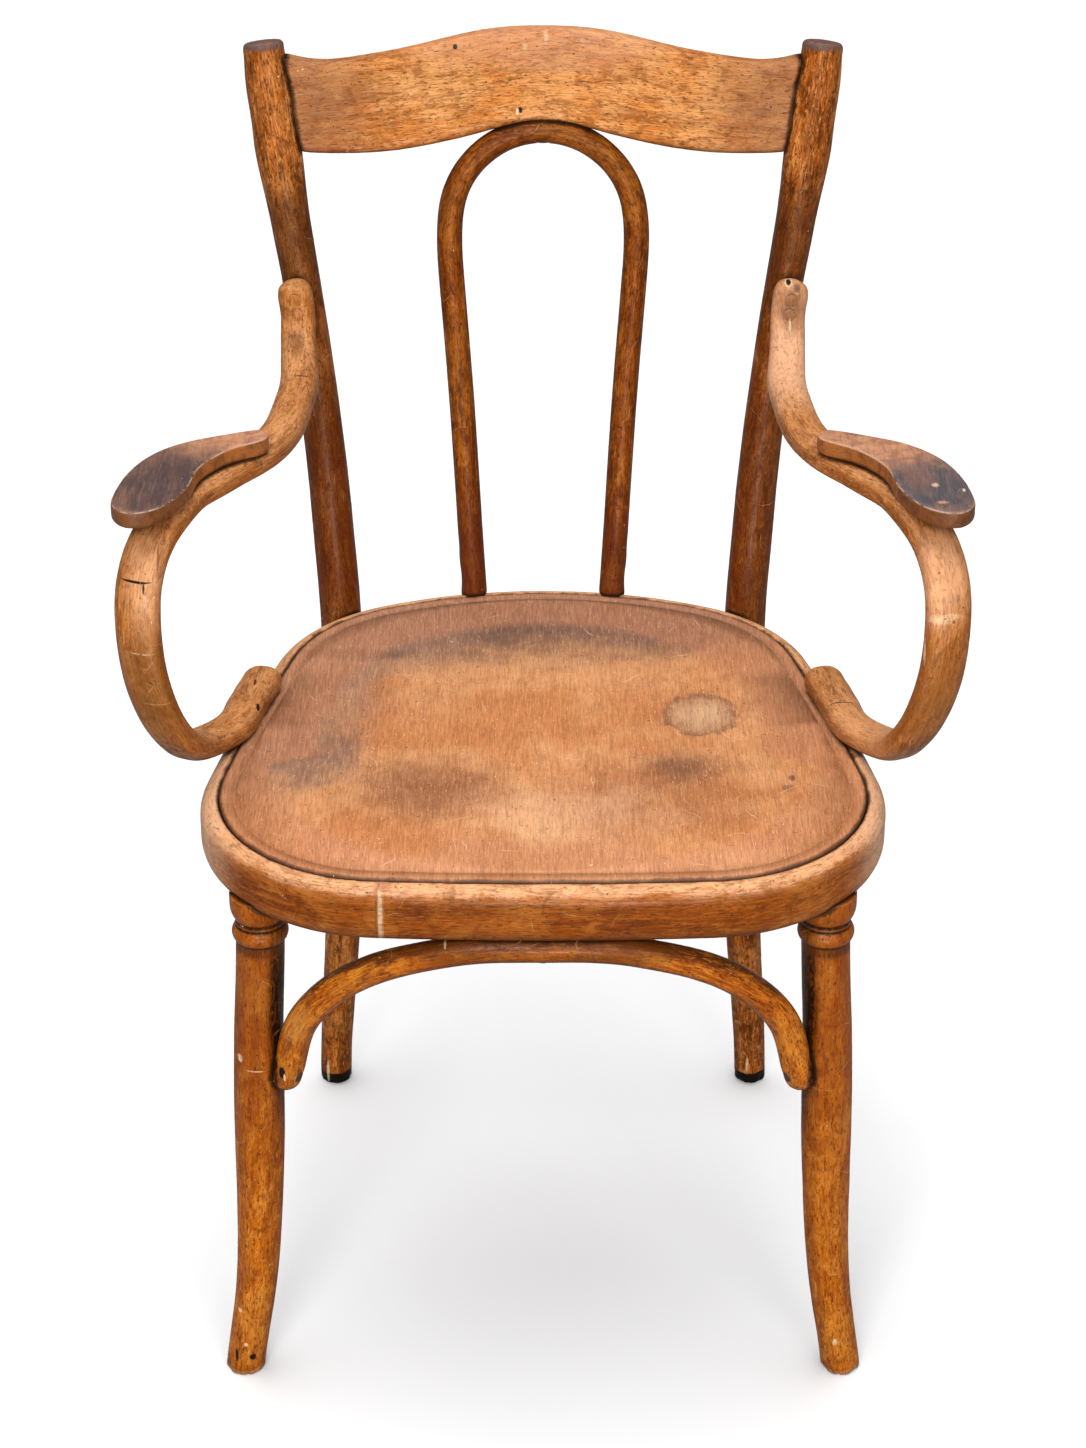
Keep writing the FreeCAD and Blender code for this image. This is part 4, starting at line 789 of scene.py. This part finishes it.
brace_side = [(0.180, -0.205, 0.250), (0.176, -0.212, 0.295), (0.158, -0.223, 0.342), (0.116, -0.235, 0.378),
              (0.060, -0.243, 0.397)]
brace_top = (0.0, -0.246, 0.402)
ring_height = 0.434
ring_line = [(-0.109, -0.242), (0.0, -0.245), (0.110, -0.241), (0.166, -0.226), (0.208, -0.183),
             (0.224, -0.125), (0.205, -0.016), (0.183, 0.077), (0.153, 0.129), (0.120, 0.151),
             (0.051, 0.173), (-0.051, 0.173), (-0.120, 0.151), (-0.153, 0.129), (-0.183, 0.077),
             (-0.205, -0.016), (-0.224, -0.125), (-0.208, -0.183), (-0.166, -0.226)]


def mirrored(points):
    """The points on the left side that match points on the right."""
    return [(-x, y, z) for x, y, z in points]


def arch(side, top):
    """The whole line of an arch, from its right side and the point at its top."""
    return side + [top] + mirrored(reversed(side))


def drawn(name, points, closed=False):
    """An object with one point for each place, and edges that join them."""
    mesh = bpy.data.meshes.new(name)
    joins = [(i, i + 1) for i in range(len(points) - 1)] + ([(len(points) - 1, 0)] if closed else [])
    mesh.from_pydata(points, joins, [])
    return put(name, mesh)


print("arm line of", len(arm_line), "points, ring line of", len(ring_line))

# %% [markdown]
# ## Dressing the members
# A CAD mesh has long thin triangles on its flat places, and those can't be dented. So the copy is
# first remeshed into even squares of about a millimetre, and then the tree does its work. The result
# is baked down to a plain mesh that stands in for the CAD node.

# %% Dress one member


def merged(name, nodes):
    """One object that holds copies of the CAD nodes' meshes, with their doubles merged."""
    shape = bmesh.new()
    for node in nodes:
        shape.from_mesh(cad[node].data)
    bmesh.ops.remove_doubles(shape, verts=shape.verts, dist=1e-6)
    mesh = bpy.data.meshes.new(name)
    shape.to_mesh(mesh)
    shape.free()
    return put(name, mesh)


def grown(piece, tree, **values):
    """Run a geometry tree on the piece, with values for its inputs, and keep the result as its mesh."""
    modifier = piece.modifiers.new(tree.name, "NODES")
    modifier.node_group = tree
    wanted = {key.replace("_", " "): value for key, value in values.items()}
    for socket in tree.interface.items_tree:
        if socket.name in wanted:
            modifier[socket.identifier] = wanted[socket.name]
    ready = bpy.data.meshes.new_from_object(piece.evaluated_get(bpy.context.evaluated_depsgraph_get()))
    piece.modifiers.clear()
    piece.data = ready
    print(piece.name, len(ready.polygons), "faces")


def dress(node, line, neighbours, finish_of, slot, square=0.0012, closed=False, **sizes):
    """Turn the CAD node into a weathered piece that stands for it. A square of 0 keeps the CAD mesh."""
    guide = drawn(node + "_line", line, closed)
    others = merged(node + "_neighbours", neighbours)
    piece = merged(node + "_dressed", [node])
    if square:
        remesh = piece.modifiers.new("even squares", "REMESH")
        remesh.mode, remesh.voxel_size = "VOXEL", square * 1.0
    grown(piece, weather, Line=guide, Neighbours=others, Wood=finish_of, **sizes)
    for helper in (guide, others):
        bpy.data.objects.remove(helper)
    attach(piece, "root")
    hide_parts(node)


# %% Arms and pads
for side, flip in (("right", list), ("left", mirrored)):
    dress(side + "_arm", flip(arm_line), ["seat_frame", "seat_panel", side + "_back_post", side + "_arm_pad"],
          wood["arm"], "beech_tan", Seed=1.0 if side == "right" else 2.0)
    dress(side + "_arm_pad", flip(pad_line), [side + "_arm"], pad_finish, "pad_dark",
          square=0.0009, Soften=1, Seed=3.0 if side == "right" else 4.0)

# %% Posts, legs and brace
for side, flip in (("right", list), ("left", mirrored)):
    dress(side + "_back_post", flip(post_line), ["seat_frame", "crest_rail", side + "_arm"], wood["post"],
          "beech_varnished", Chip_height=0.010, Chip_depth=0.001, Seed=5.0 if side == "right" else 6.0)
    dress(side + "_front_leg", flip(leg_line), ["seat_frame", "front_brace"], wood["leg"], "beech_varnished",
          square=0.0009, Soften=0, Chip_height=0.008, Chip_depth=0.002, Seed=7.0 if side == "right" else 8.0)
dress("front_brace", arch(brace_side, brace_top), ["seat_frame", "right_front_leg", "left_front_leg"],
      wood["brace"], "beech_varnished", Seed=9.0)

# %% Back and seat
dress("crest_rail", crest_line, ["right_back_post", "left_back_post", "back_hoop"], wood["crest"],
      "beech_varnished", Seed=10.0)
dress("back_hoop", arch(hoop_side, hoop_top), ["seat_frame", "seat_panel", "crest_rail"], wood["hoop"],
      "beech_varnished", Dent_depth=0.0003, Seed=11.0)
dress("seat_frame", [(x, y, ring_height) for x, y in ring_line],
      ["seat_panel", "right_arm", "left_arm", "right_back_post", "left_back_post", "right_front_leg",
       "left_front_leg", "front_brace"],
      wood["ring"], "beech_varnished", square=0.0017, closed=True, Seed=12.0)
dress("seat_panel", seat_line, ["seat_frame", "right_arm", "left_arm", "back_hoop"], seat_finish,
      "seat_plywood", square=0.0, Soften=0, Dent_depth=0.0, Edge_scale=1.0)

# %% [markdown]
# ## Plugs over the screws
# The screws that hold an arm's tip against the post sit in small bores. A chair maker hides them under
# thin discs of the same wood, glued in and trimmed almost flush. One tree makes every disc: it places
# a slightly domed slice on each point it is given, and gives it grain that looks at the eye end-on.

# %% Plug tree
plugs = grower("Wood plugs", Radius=("Float", 0.0049), Thickness=("Float", 0.0007), Dome=("Float", 0.0003),
               Tilt=("Vector", (math.radians(90), 0.0, 0.0)), Wood=("Material", None))


def grow_plugs(tree):
    """Make one domed slice and put a copy on each point."""
    given = add(tree, "NodeGroupInput").outputs
    slice_of = add(tree, "GeometryNodeMeshCylinder", {"Vertices": 40, "Side Segments": 2, "Fill Segments": 6,
                   "Radius": given["Radius"], "Depth": given["Thickness"]}).outputs["Mesh"]
    place = add(tree, "GeometryNodeInputPosition").outputs[0]
    outward = turn(tree, "LENGTH", turn(tree, "MULTIPLY", place, (1.0, 1.0, 0.0)))
    share = calc(tree, "DIVIDE", outward, given["Radius"])
    rise = total(tree, (calc(tree, "MULTIPLY", share, share), -1.0), start=1.0)
    rise = calc(tree, "MULTIPLY", rise, given["Dome"])
    above = calc(tree, "GREATER_THAN", add(tree, "ShaderNodeSeparateXYZ", {0: place}).outputs["Z"], 0.0)
    lift = add(tree, "ShaderNodeCombineXYZ", {2: calc(tree, "MULTIPLY", rise, above)}).outputs[0]
    slice_of = add(tree, "GeometryNodeSetPosition", {"Geometry": slice_of, "Offset": lift}).outputs[0]
    placed = add(tree, "GeometryNodeInstanceOnPoints", {"Points": given["Geometry"], "Instance": slice_of,
                 "Rotation": given["Tilt"]}).outputs[0]
    placed = add(tree, "GeometryNodeRealizeInstances", {"Geometry": placed}).outputs[0]
    placed = store(tree, placed, "grain", place, "FLOAT_VECTOR")
    placed = add(tree, "GeometryNodeSetMaterial", {"Geometry": placed, "Material": given["Wood"]}).outputs[0]
    add(tree, "NodeGroupOutput", {0: placed})


grow_plugs(plugs)
print("plug tree:", len(plugs.nodes), "nodes")

# %% Plugs on the arm tips
plug_places = both(0.1842, 0.1781, 0.6917) + both(0.1856, 0.1803, 0.7022)
tips = drawn("arm_plugs", plug_places)
grown(tips, plugs, Wood=wood["arm"])
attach(tips, "root")
print(len(plug_places), "plugs")

# %% [markdown]
# ## The floor
# The photograph shows no edge between floor and wall, only a soft shadow on white. One large sheet
# does the same here. It is white to the camera, but it gives the chair back less light than white
# paper would, as if dark cloths lay just outside the picture. Without them the varnish mirrors the
# paper and looks milky.

# %% Floor
floor_mesh = bpy.data.meshes.new("floor")
reach = 12.0
corners = [(-reach, -reach, 0.0), (reach, -reach, 0.0), (reach, reach, 0.0), (-reach, reach, 0.0)]
floor_mesh.from_pydata(corners, [], [(0, 1, 2, 3)])
floor = put("floor", floor_mesh)
paper = bpy.data.materials.new("white_paper")
paper.use_nodes = True
tree = paper.node_tree
shader = tree.nodes["Principled BSDF"]
direct = add(tree, "ShaderNodeLightPath").outputs["Is Camera Ray"]
feed(tree, shader, Base_Color=paint(tree, direct, (0.24, 0.23, 0.22, 1.0), (0.84, 0.845, 0.85, 1.0)))
shader.inputs["Roughness"].default_value = 0.95
floor_mesh.materials.append(paper)

# %% End
print("scene ready")
